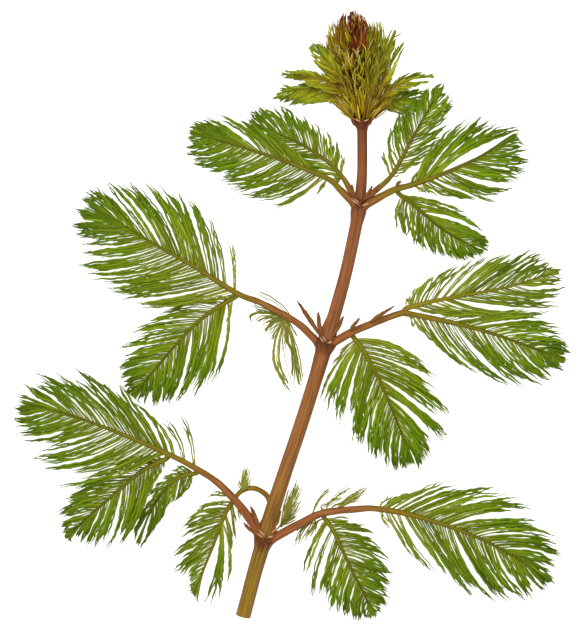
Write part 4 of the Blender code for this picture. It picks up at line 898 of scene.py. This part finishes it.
def stem_profile(path):
    """Shares along the stem and its radius at each, in smooth swellings between the stations."""
    knots = np.array([path.share_at_knot(knot) for knot in range(len(STEM))])
    radii = np.array([station[3] for station in STEM]) * MM
    shares = np.linspace(0, 1, STEM_RINGS)
    place_in = np.clip(np.searchsorted(knots, shares, side="right") - 1, 0, len(knots) - 2)
    part = (shares - knots[place_in]) / (knots[place_in + 1] - knots[place_in])
    profile = radii[place_in] + (radii[place_in + 1] - radii[place_in]) * smooth(0, 1, part)
    for knot in WHORL_KNOTS:
        away = (shares - path.share_at_knot(knot)) * path.length
        waist = np.exp(-((away - 0.15 * MM) / (0.5 * MM)) ** 2)
        profile = profile - waist * 0.36 * radii[knot]
    return shares, profile


def round_the_stem(path, shares, radii, angle):
    """Points at those shares, radii and angles round the stem. Shares and radii are one for each angle."""
    right, top = right_and_top(path.tangent(shares))
    away = np.cos(angle)[:, None] * right - np.sin(angle)[:, None] * top
    return path.at(shares) + radii[..., None] * away


def add_bark(shape, rng, path):
    """The ridged stem, closed at its upper end; the cut end is added on its first ring."""
    shares, profile = stem_profile(path)
    angle = turns(STEM_SIDES)
    ridges = np.zeros((STEM_RINGS, STEM_SIDES))
    for waves, height in RIDGES:
        twist = rng.uniform(-3, 3) * shares + 0.5 * np.sin(TURN * (shares * rng.uniform(2, 5) + rng.random()))
        ridges += height * np.cos(waves * angle[None] + TURN * rng.random() + twist[:, None])
    for _ in range(BUMPS):
        where, side = rng.random(), rng.random() * TURN
        bump = np.exp(-((shares[:, None] - where) / rng.uniform(0.004, 0.012)) ** 2)
        bump = bump * np.exp(-(np.angle(np.exp(1j * (angle[None] - side))) / 0.35) ** 2)
        ridges += rng.uniform(-0.03, 0.03) * bump
    radii = profile[:, None] * (1 + ridges)
    skin = round_the_stem(path, np.broadcast_to(shares[:, None], radii.shape), radii, angle).reshape(-1, 3)
    top = path.at(1.0) + path.tangent(1.0) * 0.3 * MM
    grid = indices(STEM_RINGS, STEM_SIDES)
    # Darker red-brown round each whorl, 1.5 mm below it and 0.8 mm above: partly the stem's own colour at the
    # nodes, partly painted shade at the collar.
    near_whorl = np.zeros(STEM_RINGS)
    for knot in WHORL_KNOTS:
        away = (shares - path.share_at_knot(knot)) * path.length / MM
        near_whorl += np.where(away < 0, np.exp(away / 1.5), np.exp(-away / 0.8))
    warm = np.repeat(np.clip(0.85 * near_whorl, 0, 1), STEM_SIDES)
    run = shares * path.length / MM
    shape.add(np.concatenate([skin, top[None]]), [bands(grid), fans(grid[-1], grid.size)], BARK,
              np.append(np.repeat(shares, STEM_SIDES), 1.0), 1.0, np.append(warm, 0.7),
              np.concatenate([grain_at(angle, run[:, None]), run[-1] * UP[None]]))
    return radii[0]


def add_cut_end(shape, path, rim):
    """The cut face: a rounded rim, a ring of air canals and the pith."""
    angle = turns(STEM_SIDES)
    along = path.tangent(0.0)
    # The rings from the rim inwards: their share of its radius, and how far they stand out in mm.
    rows = ((1.0, 0.0), (0.985, 0.05), (0.93, 0.10), (0.84, 0.11), (0.80, 0.10), (0.77, 0.10), (0.60, 0.11),
            (0.56, 0.12), (0.44, 0.14), (0.30, 0.15), (0.16, 0.13))
    in_canal = np.arange(STEM_SIDES) % 4 < 2
    points, tone = [], []
    for share_out, proud in rows:
        depth = np.where(in_canal & (0.58 < share_out) & (share_out < 0.79), proud - 0.34, proud)
        flat = round_the_stem(path, np.zeros(STEM_SIDES), rim * share_out, angle)
        points.append(flat - along * depth[:, None] * MM)
        # The sunken canals take tone 0, the darkest colour: painted shade in them.
        tone.append(np.where(depth < 0, 0.0, share_out))
    points = np.concatenate([*points, (path.at(0.0) - along * 0.12 * MM)[None]])
    grid = indices(len(rows), STEM_SIDES)
    faces = [bands(grid)[:, ::-1], fans(grid[-1], grid.size, inward=True)]
    shape.add(points, faces, CUT, np.append(np.concatenate(tone), 0.16), 1.0, 0.0, points / MM)


def add_cup(shape, rng, path, knot, collar, depth):
    """The flared cup of a whorl: it dips in front and behind and rises at the sides, where the leaves are."""
    angle = turns(CUP_SIDES)
    ragged = sum(rng.uniform(0.02, 0.05) * np.cos(waves * angle + TURN * rng.random())
                 for waves in (3, 5, 8, 13))
    rim = (-0.40 + 0.85 * np.abs(np.cos(angle)) ** 1.6 + ragged) * MM
    wave = 1 + 0.04 * np.cos(5 * angle + TURN * rng.random()) + 0.03 * np.cos(9 * angle + TURN * rng.random())
    middle = path.share_at_knot(knot)
    # Each ring's share of the height, its share of the flare, and how far below the rim it is sunk in mm.
    rows = [(t, smooth(0, 1, t), 0.0) for t in np.linspace(0, 1, CUP_RINGS)]
    rows += [(1.0, 0.93, -0.05), (1.0, 0.78, -0.02), (1.0, 0.45, 0.25), (1.0, 0.1, 0.5)]
    below = np.interp(middle - depth * MM / path.length, *stem_profile(path)) * 0.97
    points, grain = [], []
    for t, swell, sunk in rows:
        away = -depth * MM + (rim + depth * MM) * t - sunk * MM
        shares = np.clip(middle + away / path.length, 0, 1)
        radius = below + (collar * MM * wave - below) * swell
        points.append(round_the_stem(path, shares, radius, angle))
        grain.append(grain_at(angle, shares * path.length / MM))
    # Darker red-brown up to the rim and in the rows sunk inside it: partly its own colour, partly painted
    # shade under the rim and in the cup.
    warm = np.repeat([0.30 + 0.65 * t for t, _, _ in rows], CUP_SIDES)
    shape.add(np.concatenate(points), [bands(indices(len(rows), CUP_SIDES))], BARK, middle, 1.0, warm,
              np.concatenate(grain))


def add_scales(shape, rng, path, knot, collar):
    """Small pointed scales on the cup of a whorl, all round the stem."""
    angle = TURN * (np.arange(SCALES) + rng.uniform(-0.3, 0.3, SCALES)) / SCALES
    middle = path.share_at_knot(knot)
    length = rng.uniform(0.9, 1.7, SCALES) * MM
    t = np.linspace(0, 1, 9)
    start = (-1.1 + rng.uniform(-0.3, 0.3, SCALES) + 0.8 * np.abs(np.cos(angle)) ** 1.6) * MM
    away = start[:, None] + length[:, None] * t
    out = collar * MM * (0.80 + 0.20 * np.sin(0.5 * math.pi * t) + 0.10 * t)
    aside = rng.uniform(-0.5, 0.5, SCALES)[:, None] * t
    centres = np.stack([round_the_stem(path, middle + row / path.length, out, side + turned)
                        for row, side, turned in zip(away, angle, aside)])
    radii = rng.uniform(0.10, 0.17, (SCALES, 1)) * MM * (1 - 0.85 * t ** 2)
    outward = centres - path.at(np.full(len(t), middle))
    tone = np.clip(0.1 + rng.uniform(0.0, 0.5, (SCALES, 1)) * t, 0, 1)
    shape.tubes(centres, radii, SCALE_SIDES, SCAR, tone, rng.uniform(0.8, 1.1, SCALES), 0.1, up=unit(outward),
                flat=0.6)


def add_scars(shape):
    """The strips in front of the whorls, arched over what they lie on and palest at the middle of the arch, a
    painted highlight.
    """
    for start, end, radius in SCARS:
        a, b = place(start), place(end)
        t = np.linspace(0, 1, 9)
        arch = np.sin(math.pi * t)
        centres = a + (b - a) * t[:, None] + UP * 0.12 * MM * arch[:, None]
        radii = radius * MM * np.sin(math.pi * (0.04 + 0.92 * t)) ** 0.8
        shape.tubes(centres[None], radii[None], SCAR_SIDES, SCAR, (0.35 + 0.65 * arch)[None], flat=0.7)


def stem_piece():
    rng = np.random.default_rng(STEM_SEED)
    path = STEM_PATH
    shape = Shape()
    rim = add_bark(shape, rng, path)
    add_cut_end(shape, path, rim)
    for knot, (collar, depth) in zip(WHORL_KNOTS, CUPS):
        add_cup(shape, rng, path, knot, collar, depth)
        add_scales(shape, rng, path, knot, collar)
    add_scars(shape)
    return shape.piece("stem_bark", [materials["bark"], materials["cut_end"], materials["scar"]])


def bract_root(foot, ahead):
    """Where a bract grows from: the cup of a whorl close by, or else the petiole behind it."""
    whorls = place([STEM[knot][:3] for knot in WHORL_KNOTS])
    apart = np.linalg.norm((whorls - foot)[:, :2], axis=1)
    if apart.min() < 3.3 * MM:
        return whorls[np.argmin(apart)] + UP * 0.6 * MM
    return fork_root("", foot - ahead * 0.9 * MM)


def bract_piece(name, seed, foot, tip, radius):
    """A stiff pointed blade, keeled, with a few teeth on its edges towards its tip."""
    rng = np.random.default_rng(seed)
    start, end = place(foot), place(tip)
    along = unit(end - start)
    middle = start + (end - start) * 0.5 + UP * 0.08 * MM
    path = Path(np.array([bract_root(start, along), start, middle, end]))
    base = path.share_at_knot(1)
    t = np.linspace(0, 1, BRACT_RINGS)
    across = unit(np.cross(along, UP))
    on_blade = np.clip((t - base) / (1 - base), 0, 1)
    radii = radius * MM * (0.35 + 0.8 * smooth(0, base + 0.3, t)) * (1 - on_blade ** 1.6) ** 0.8
    radii = radii * (1 + 0.07 * np.sin(TURN * (t * 5 + rng.random()))) + 0.02 * MM
    shape = Shape()
    shape.tubes(over_floor(path.at(t), radii * 0.55)[None], radii[None], BRACT_SIDES, 0, on_blade[None], 1.0,
                (0.5 * (1 - smooth(0, 1, t / base)))[None], flat=0.55)
    teeth = 1 + int(np.linalg.norm(end - start) / (1.1 * MM))
    for side in (-1, 1):
        at = base + (1 - base) * (np.linspace(0.35, 0.78, teeth) + rng.uniform(-0.06, 0.06, teeth))
        edge = np.interp(at, t, radii)[:, None]
        lean = unit(along + across * side * rng.uniform(0.22, 0.38, (teeth, 1)))
        reach = edge * 0.9 + rng.uniform(0.22, 0.40, (teeth, 1)) * MM
        u = np.linspace(0, 1, 6)[None, :, None]
        tooth = (path.at(at) + across * side * edge * 0.45)[:, None] + (lean * reach)[:, None] * u
        thick = np.maximum(edge * 0.42, 0.07 * MM) * (1 - 0.88 * u[..., 0] ** 1.3)
        shape.tubes(tooth, thick, TOOTH_SIDES, 0, (0.45 + 0.5 * u[..., 0]) * np.ones((teeth, 1)), 1.0, 0.3,
                    flat=0.6)
    return shape.piece(name + "_blade", [materials["bract"]])


def add_strands(shape, rng, centres, out, width, teeth, tone, shade, warm):
    """Young leaves along rows of centres, each with short leaflets pressed forwards on both sides. out is the
    way each one faces."""
    count, steps = centres.shape[:2]
    t = np.linspace(0, 1, steps)
    radii = width[:, None] * (0.9 + 0.25 * np.sin(math.pi * t)) * (1 - 0.75 * smooth(0.7, 1.0, t))
    centres = over_floor(centres, radii)
    facing = unit(out[:, None] + 0.02 * UP)
    tone = tone[:, None]
    shape.tubes(centres, radii, STRAND_SIDES, 0, np.clip(tone + 0.14 * t, 0, 1), shade, warm, up=facing,
                flat=0.75)
    length = np.linalg.norm(centres[:, -1] - centres[:, 0], axis=1)
    across = unit(np.cross(unit(np.gradient(centres, axis=1)), facing))
    u = np.linspace(0, 1, 4)[None, :, None]
    for number in range(teeth):
        for side in (-1, 1):
            here = min(1 + int((number + rng.random()) * (steps - 3) / teeth), steps - 3)
            ahead = unit(centres[:, here + 1] - centres[:, here])
            lift = unit(ahead + side * rng.uniform(0.25, 0.55, (count, 1)) * across[:, here]
                        + rng.normal(0.05, 0.10, (count, 1)) * out)
            reach = length * rng.uniform(0.22, 0.38, count) * (1 - 0.45 * number / teeth)
            bent = lift[:, None] * (1 - 0.4 * u) + ahead[:, None] * 0.4 * u
            tooth = centres[:, here][:, None] + bent * reach[:, None, None] * u
            thick = width[:, None] * 0.62 * (1 - 0.75 * u[..., 0] ** 1.5)
            shape.tubes(over_floor(tooth, thick), thick, BARB_SIDES, 0,
                        np.clip(tone + 0.03 + 0.1 * u[..., 0], 0, 1), shade * rng.uniform(0.8, 1.15), warm)


def add_leaning(shape, rng, path, roots, angle, rooted, length, lean, width, teeth, tone, shade, warm, swing):
    """Young leaves rooted round the tip's axis. lean is each one's angle in degrees to it, first and last,
    and swing how far it heads round it, first and last."""
    t = np.linspace(0, 1, STRAND_RINGS)
    along = path.tangent(roots)
    right, top = right_and_top(along)
    out = np.cos(angle)[:, None] * right + np.sin(angle)[:, None] * top
    slope, swings = (first[:, None] + (last - first)[:, None] * t for first, last in (lean, swing))
    slope = np.radians(slope)[..., None]
    heading = unit(np.cos(slope) * along[:, None] + np.sin(slope) * out[:, None]
                   + swings[..., None] * np.cross(along, out)[:, None])
    run = np.cumsum(heading, axis=1) * (length / len(t))[:, None, None]
    centres = (path.at(roots) + out * rooted[:, None])[:, None] + run
    add_strands(shape, rng, centres, out, width, teeth, tone, shade, warm)


def add_outline_leaves(shape, rng, path):
    """The young leaves whose ends make the tuft's outline."""
    ends = place(TUFT_ENDS)
    count = len(ends)
    middle_line = path.at(np.linspace(0, 1, 200))
    apart = np.abs(ends[:, 0] - np.interp(ends[:, 1], middle_line[:, 1], middle_line[:, 0]))
    depth = np.maximum(ends[:, 1] - 1.5 * apart - 1.9 * MM, middle_line[0, 1])
    roots = np.stack([np.interp(depth, middle_line[:, 1], middle_line[:, k]) for k in range(3)], axis=-1)
    out = unit((ends - roots) * (1, 0, 1))
    roots = roots + out * 0.55 * MM
    bulge = out * (0.13 * np.linalg.norm(ends - roots, axis=1))[:, None]
    across = np.cross(unit(ends - roots), UP)
    red = 0.85 * smooth(8.0, 2.5, apart / PIXEL / 2)
    green = (ends[:, 0] > place((GREEN_ENDS[0], 0, 0))[0]) & (ends[:, 0] < place((GREEN_ENDS[1], 0, 0))[0])
    t = np.linspace(0, 1, STRAND_RINGS)[None, :, None]
    for offset in (-0.62, -0.46, -0.31, -0.16, 0.0, 0.15, 0.3, 0.44, 0.6):
        aside = across[:, None] * (offset + rng.normal(0, 0.05, (count, 1, 1))) * MM
        shorter = 1 - abs(offset) * rng.uniform(0.0, 0.6, (count, 1, 1))
        centres = roots[:, None] + (ends - roots)[:, None] * t * shorter + bulge[:, None] * 4 * t * (1 - t)
        centres = centres + aside * (0.5 + 1.1 * np.sin(math.pi * t) * (1 - 0.5 * t) + 0.25 * t)
        centres = centres + UP * rng.normal(0, 0.22, (count, 1, 1)) * MM * t
        browned = np.clip(red + rng.normal(0.10, 0.22, count), 0, 1)
        lush = green & (rng.random(count) < 0.55)
        add_strands(shape, rng, centres, out, (rng.uniform(0.08, 0.13, count) + 0.03 * red) * MM, 2,
                    np.where(lush, 0.88, rng.uniform(0.08, 0.46, count)), rng.normal(1.10, 0.26, count),
                    np.where(lush, 0.0, browned))


def shoot_tip_piece():
    """A core darkened as painted shade between the young leaves, straps that fan out from its foot,
    overlapping young leaves, hooked threads among them and the bud at its end. Some straps, hooks and bud
    scales are thin pale strands that are painted highlights."""
    rng = np.random.default_rng(TIP_SEED)
    path = Path(place([ring[:3] for ring in TIP_RINGS] + [TIP_APEX]))
    core_radius = np.array([ring[3] for ring in TIP_RINGS] + [0.12]) * MM
    knots = np.array([path.share_at_knot(knot) for knot in range(len(core_radius))])
    shape = Shape()

    def radius_at(roots):
        return np.interp(roots, knots, core_radius)

    def around(count, shift=0.0, scatter=0.3):
        return TURN * (np.arange(count) + shift + rng.uniform(-scatter, scatter, count)) / count

    # The core is darkened (shade 0.62) as painted shade for the gaps between the young leaves; from 0.6 up it
    # turns to the bud's red-brown.
    shares = np.linspace(0, 0.97, 40)
    shape.tubes(path.at(shares)[None], radius_at(shares)[None] * 0.85, CORE_SIDES, 0, 0.0, 0.62,
                0.1 + 0.85 * smooth(0.60, 0.72, shares)[None])

    angle = around(STRAPS, 0.0, 0.5)
    sideways = np.abs(np.cos(angle))
    roots = rng.uniform(0.0, 0.08, STRAPS)
    # Some straps are thin pale strands: painted highlights.
    highlight_strand = rng.random(STRAPS) < 0.12
    add_leaning(shape, rng, path, roots, angle, rng.uniform(0.8, 1.3, STRAPS) * radius_at(roots),
                rng.uniform(2.4, 4.6, STRAPS) * MM,
                (rng.uniform(12, 34, STRAPS) + 32 * sideways, rng.uniform(0, 30, STRAPS) + 36 * sideways),
                np.where(highlight_strand, 0.07, rng.uniform(0.08, 0.15, STRAPS)) * MM, 2,
                np.where(highlight_strand, 0.56, rng.uniform(0.1, 0.46, STRAPS)), rng.normal(1.18, 0.3, STRAPS),
                np.where(highlight_strand, 0.0, rng.uniform(0.0, 0.7, STRAPS) ** 1.8),
                (np.zeros(STRAPS), rng.normal(0, 0.16, STRAPS)))

    count = TUFT_ROW
    for number, row in enumerate(np.linspace(0.10, 0.66, TUFT_ROWS)):
        angle = around(count, 0.5 * (number % 2))
        roots = np.clip(row + rng.uniform(-0.03, 0.03, count), 0, 0.9)
        length = rng.uniform(3.0, 5.0, count) * MM * (1 - 0.3 * smooth(0.4, 0.7, row))
        in_front = (np.sin(angle) > 0.8) & (row > 0.2)
        length = np.where(in_front, length * rng.uniform(0.40, 0.65, count), length)
        wide = 14 * np.abs(np.cos(angle)) * (1 - smooth(0.2, 0.6, row))
        lean = (rng.uniform(26, 50, count) + wide, rng.uniform(-18, 28, count) + wide)
        lush = rng.random(count) < 0.12
        reddish = np.clip(rng.normal(0.14, 0.22, count) + 0.85 * smooth(0.48, 0.64, row), 0, 1)
        add_leaning(shape, rng, path, roots, angle, radius_at(roots) * 0.7, length, lean,
                    rng.uniform(0.07, 0.13, count) * MM, 3,
                    np.where(lush, 0.88, rng.uniform(0.12, 0.45, count)), rng.normal(1.14, 0.3, count),
                    np.where(lush, 0.0, reddish), (rng.normal(0, 0.2, count), rng.normal(0, 0.4, count)))

    roots = rng.uniform(0.03, 0.60, HOOKS)
    swing = rng.normal(0, 0.5, HOOKS)
    # Many hooks are thin pale strands: painted highlights.
    highlight_strand = rng.random(HOOKS) < 0.4
    add_leaning(shape, rng, path, roots, TURN * rng.random(HOOKS),
                radius_at(roots) * rng.uniform(1.2, 1.75, HOOKS), rng.uniform(1.4, 3.0, HOOKS) * MM,
                (rng.uniform(10, 50, HOOKS), rng.uniform(-40, 10, HOOKS)),
                np.where(highlight_strand, 0.055, rng.uniform(0.06, 0.09, HOOKS)) * MM, 0,
                np.where(highlight_strand, 0.57, rng.uniform(0.35, 0.5, HOOKS)), rng.uniform(0.95, 1.25, HOOKS),
                rng.uniform(0.0, 0.12, HOOKS), (swing, -np.sign(swing) * rng.uniform(0.3, 1.6, HOOKS)))
    add_outline_leaves(shape, rng, path)

    count = BUD_ROW
    for number, row in enumerate(np.linspace(0.63, 0.95, BUD_ROWS)):
        angle = around(count, 0.5 * (number % 2), 0.25)
        roots = np.clip(row + rng.uniform(-0.015, 0.015, count), 0, 0.96)
        length = rng.uniform(1.2, 2.1, count) * MM * (1 - 0.55 * smooth(0.6, 0.94, row))
        tan = rng.random(count) < 0.04 + 0.42 * np.abs(np.cos(angle)) ** 2
        # Some bud scales are thin pale strands: painted highlights.
        highlight_strand = rng.random(count) < 0.1
        add_leaning(shape, rng, path, roots, angle, radius_at(roots) * 0.95, length,
                    (rng.uniform(10, 30, count), rng.uniform(-34, 0, count)),
                    np.where(highlight_strand, 0.05, rng.uniform(0.08, 0.13, count)) * MM, 2,
                    np.where(highlight_strand, 0.66, np.where(tan, 0.3, rng.uniform(0.0, 0.15, count))),
                    np.where(tan | highlight_strand, 1.08, rng.normal(0.76, 0.16, count)),
                    np.where(highlight_strand, 0.2, np.where(tan, 0.35, rng.uniform(0.88, 1.0, count))),
                    (rng.normal(0, 0.2, count), rng.normal(0, 0.5, count)))
    return shape.piece("shoot_tip_buds", [materials["shoot_tip"]])


def sheet_colour(red, green, blue):
    """The linear colour of one given in the usual 0 to 255 steps."""
    steps = np.array([red, green, blue]) / 255
    linear = np.where(steps <= 0.04045, steps / 12.92, ((steps + 0.055) / 1.055) ** 2.4)
    return (*(float(value) for value in linear), 1.0)


class Nodes:
    """A material and its node tree, built one node at a time."""

    def __init__(self, name):
        self.material = bpy.data.materials.new(name)
        self.material.use_nodes = True
        self.tree = self.material.node_tree
        self.shader = self.tree.nodes["Principled BSDF"]

    def add(self, kind, inputs=None, **settings):
        made = self.tree.nodes.new("ShaderNode" + kind)
        for setting, value in settings.items():
            setattr(made, setting, value)
        for socket, value in (inputs or {}).items():
            self.feed(made.inputs[socket], value)
        return made

    def feed(self, socket, value):
        if isinstance(value, bpy.types.NodeSocket):
            self.tree.links.new(value, socket)
        else:
            socket.default_value = value

    def number(self, name):
        return self.add("Attribute", attribute_name=name).outputs["Fac"]

    def math(self, operation, first, second=0.0, third=0.0):
        return self.add("Math", {0: first, 1: second, 2: third}, operation=operation).outputs[0]

    def rescale(self, value, low, high, start=0.0, end=1.0):
        """start where the value is low or less, end where it is high or more, and even in between."""
        return self.add("MapRange", {0: value, 1: low, 2: high, 3: start, 4: end}, clamp=True).outputs[0]

    def noise(self, vector, scale, detail=3.0):
        return self.add("TexNoise", {"Vector": vector, "Scale": scale, "Detail": detail}).outputs["Fac"]

    def ramp(self, factor, stops):
        made = self.add("ValToRGB", {"Fac": factor})
        while len(made.color_ramp.elements) < len(stops):
            made.color_ramp.elements.new(0.5)
        for element, (place_on_ramp, colour) in zip(made.color_ramp.elements, stops):
            element.position = place_on_ramp
            element.color = colour
        return made.outputs["Color"]

    def mix(self, factor, first, second):
        made = self.add("Mix", data_type="RGBA")
        self.feed(made.inputs[0], factor)
        self.feed(made.inputs[6], first)
        self.feed(made.inputs[7], second)
        return made.outputs[2]


def tissue(name, stops, other, streaks, patches, roughness, bump, edge=None, glow=None, shine=0.22):
    """The material of a tissue; TISSUES says what its values are."""
    made = Nodes(name)
    tone, warm = made.number("tone"), made.number("warm")
    grain = made.add("Attribute", attribute_name="grain").outputs["Vector"]
    fine, along, streak_strength = streaks
    stretched = made.add("Mapping", {"Vector": grain, "Scale": (fine, fine, along)}).outputs[0]
    grained = made.noise(stretched, 1.0, 4.0)
    streak = made.rescale(grained, 0.36, 0.64)
    place_in_space = made.add("TexCoord").outputs["Object"]
    patch = made.noise(place_in_space, patches[0])
    colour = made.ramp(tone, [(at, sheet_colour(*value)) for at, value in stops])
    sides = made.add("SeparateXYZ", {0: grain})
    # Painted highlight, partly the stem's own olive streaks: the upper side of a tube turns towards the glow
    # colour.
    if glow:
        upper = made.math("MULTIPLY", sides.outputs[1], -1.0)
        wavy = made.math("MULTIPLY_ADD", streak, 1.1, -0.55)
        lit = made.rescale(made.math("ADD", upper, wavy), 0.25, 1.0)
        fade = made.rescale(tone, glow[1], glow[2], 1.0, glow[3])
        colour = made.mix(made.math("MULTIPLY", lit, fade), colour, sheet_colour(*glow[0]))
    blotch = made.math("MULTIPLY_ADD", patch, 0.8, -0.4)
    darker = made.math("MULTIPLY_ADD", streak, -1.6 * streak_strength, 0.8 * streak_strength)
    turned = made.math("ADD", made.math("MULTIPLY_ADD", blotch, 0.5, warm), darker)
    turned = made.add("Clamp", {0: turned}).outputs[0]
    colour = made.mix(turned, colour, sheet_colour(*other))
    # Painted shade: the left and right flanks of a tube, as seen from above, turn towards the edge colour.
    if edge:
        painted_flank_shade = made.math("POWER", made.math("ABSOLUTE", sides.outputs[0]), 2.0)
        colour = made.mix(made.math("MULTIPLY", painted_flank_shade, edge[1]), colour, sheet_colour(*edge[0]))
    light = made.math("MULTIPLY_ADD", streak, 2 * streak_strength, 1 - streak_strength)
    light = made.math("MULTIPLY", light, made.math("MULTIPLY_ADD", patch, 2 * patches[1], 1 - patches[1]))
    light = made.math("MULTIPLY", light, made.number("shade"))
    shaded = made.add("VectorMath", {0: colour}, operation="SCALE")
    made.feed(shaded.inputs["Scale"], light)
    made.feed(made.shader.inputs["Base Color"], shaded.outputs[0])
    low, high = roughness
    made.feed(made.shader.inputs["Roughness"], made.math("MULTIPLY_ADD", patch, high - low, low))
    height = made.math("MULTIPLY_ADD", patch, 0.3, streak)
    relief = made.add("Bump", {"Strength": bump[1], "Distance": bump[0], "Height": height})
    made.feed(made.shader.inputs["Normal"], relief.outputs[0])
    made.shader.inputs["Specular IOR Level"].default_value = shine
    return made.material


def show(made, node):
    """Puts a piece in the place of the solid that it shows."""
    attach(made, "root")
    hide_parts(node)
    if node in BRACTS:
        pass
    elif node in LEAVES:
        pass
    else:
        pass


def make_floor():
    """A pale floor that is itself a little lit, as a light table is, so that shadows stay faint."""
    mesh = bpy.data.meshes.new("floor")
    half = FLOOR_HALF_WIDTH
    mesh.from_pydata([(-half, -half, 0), (half, -half, 0), (half, half, 0), (-half, half, 0)], [],
                     [(0, 1, 2, 3)])
    made = Nodes("pale_floor")
    for socket, value in (("Base Color", FLOOR_COLOUR), ("Roughness", 0.9), ("Specular IOR Level", 0.1),
                          ("Emission Color", (1.0, 1.0, 1.0, 1.0)), ("Emission Strength", FLOOR_GLOW)):
        made.feed(made.shader.inputs[socket], value)
    mesh.materials.append(made.material)
    floor = bpy.data.objects.new("floor", mesh)
    bpy.context.scene.collection.objects.link(floor)


def make_lights():
    world = bpy.data.worlds.new("soft_studio")
    world.use_nodes = True
    background = world.node_tree.nodes["Background"]
    background.inputs["Color"].default_value = WORLD_COLOUR
    background.inputs["Strength"].default_value = WORLD_STRENGTH
    bpy.context.scene.world = world
    for name, where, size, watts in LAMPS:
        data = bpy.data.lights.new(name, "AREA")
        data.shape = "DISK"
        data.size = size
        data.energy = watts
        lamp = bpy.data.objects.new(name, data)
        lamp.location = where
        lamp.rotation_euler = (-Vector(where)).to_track_quat("-Z", "Y").to_euler()
        bpy.context.scene.collection.objects.link(lamp)


def make_camera():
    """Looks straight down, from far enough that the picture's scale is the plan's at the middle height."""
    data = bpy.data.cameras.new("camera")
    data.lens = CAMERA_LENS
    data.sensor_width = SENSOR
    data.sensor_fit = "AUTO"
    middle = place((*PHOTO_MIDDLE, CAMERA_FOCUS_HEIGHT))
    away = CAMERA_LENS / SENSOR * PHOTO_HEIGHT * PIXEL
    data.clip_start = away * 0.5
    data.clip_end = away * 4
    camera = bpy.data.objects.new("camera", data)
    camera.location = (middle[0], middle[1], middle[2] + away)
    bpy.context.scene.collection.objects.link(camera)
    bpy.context.scene.camera = camera


materials = {name: tissue("milfoil_" + name, **look) for name, look in TISSUES.items()}
show(stem_piece(), "stem")
for number, name in enumerate(LEAVES):
    show(leaf_piece(name, LEAF_SEEDS + number), name)
for number, (name, bract) in enumerate(BRACTS.items()):
    show(bract_piece(name, BRACT_SEEDS + number, *bract), name)
show(shoot_tip_piece(), "shoot_tip")

make_floor()
make_lights()
make_camera()
bpy.context.scene.view_settings.view_transform = "Standard"
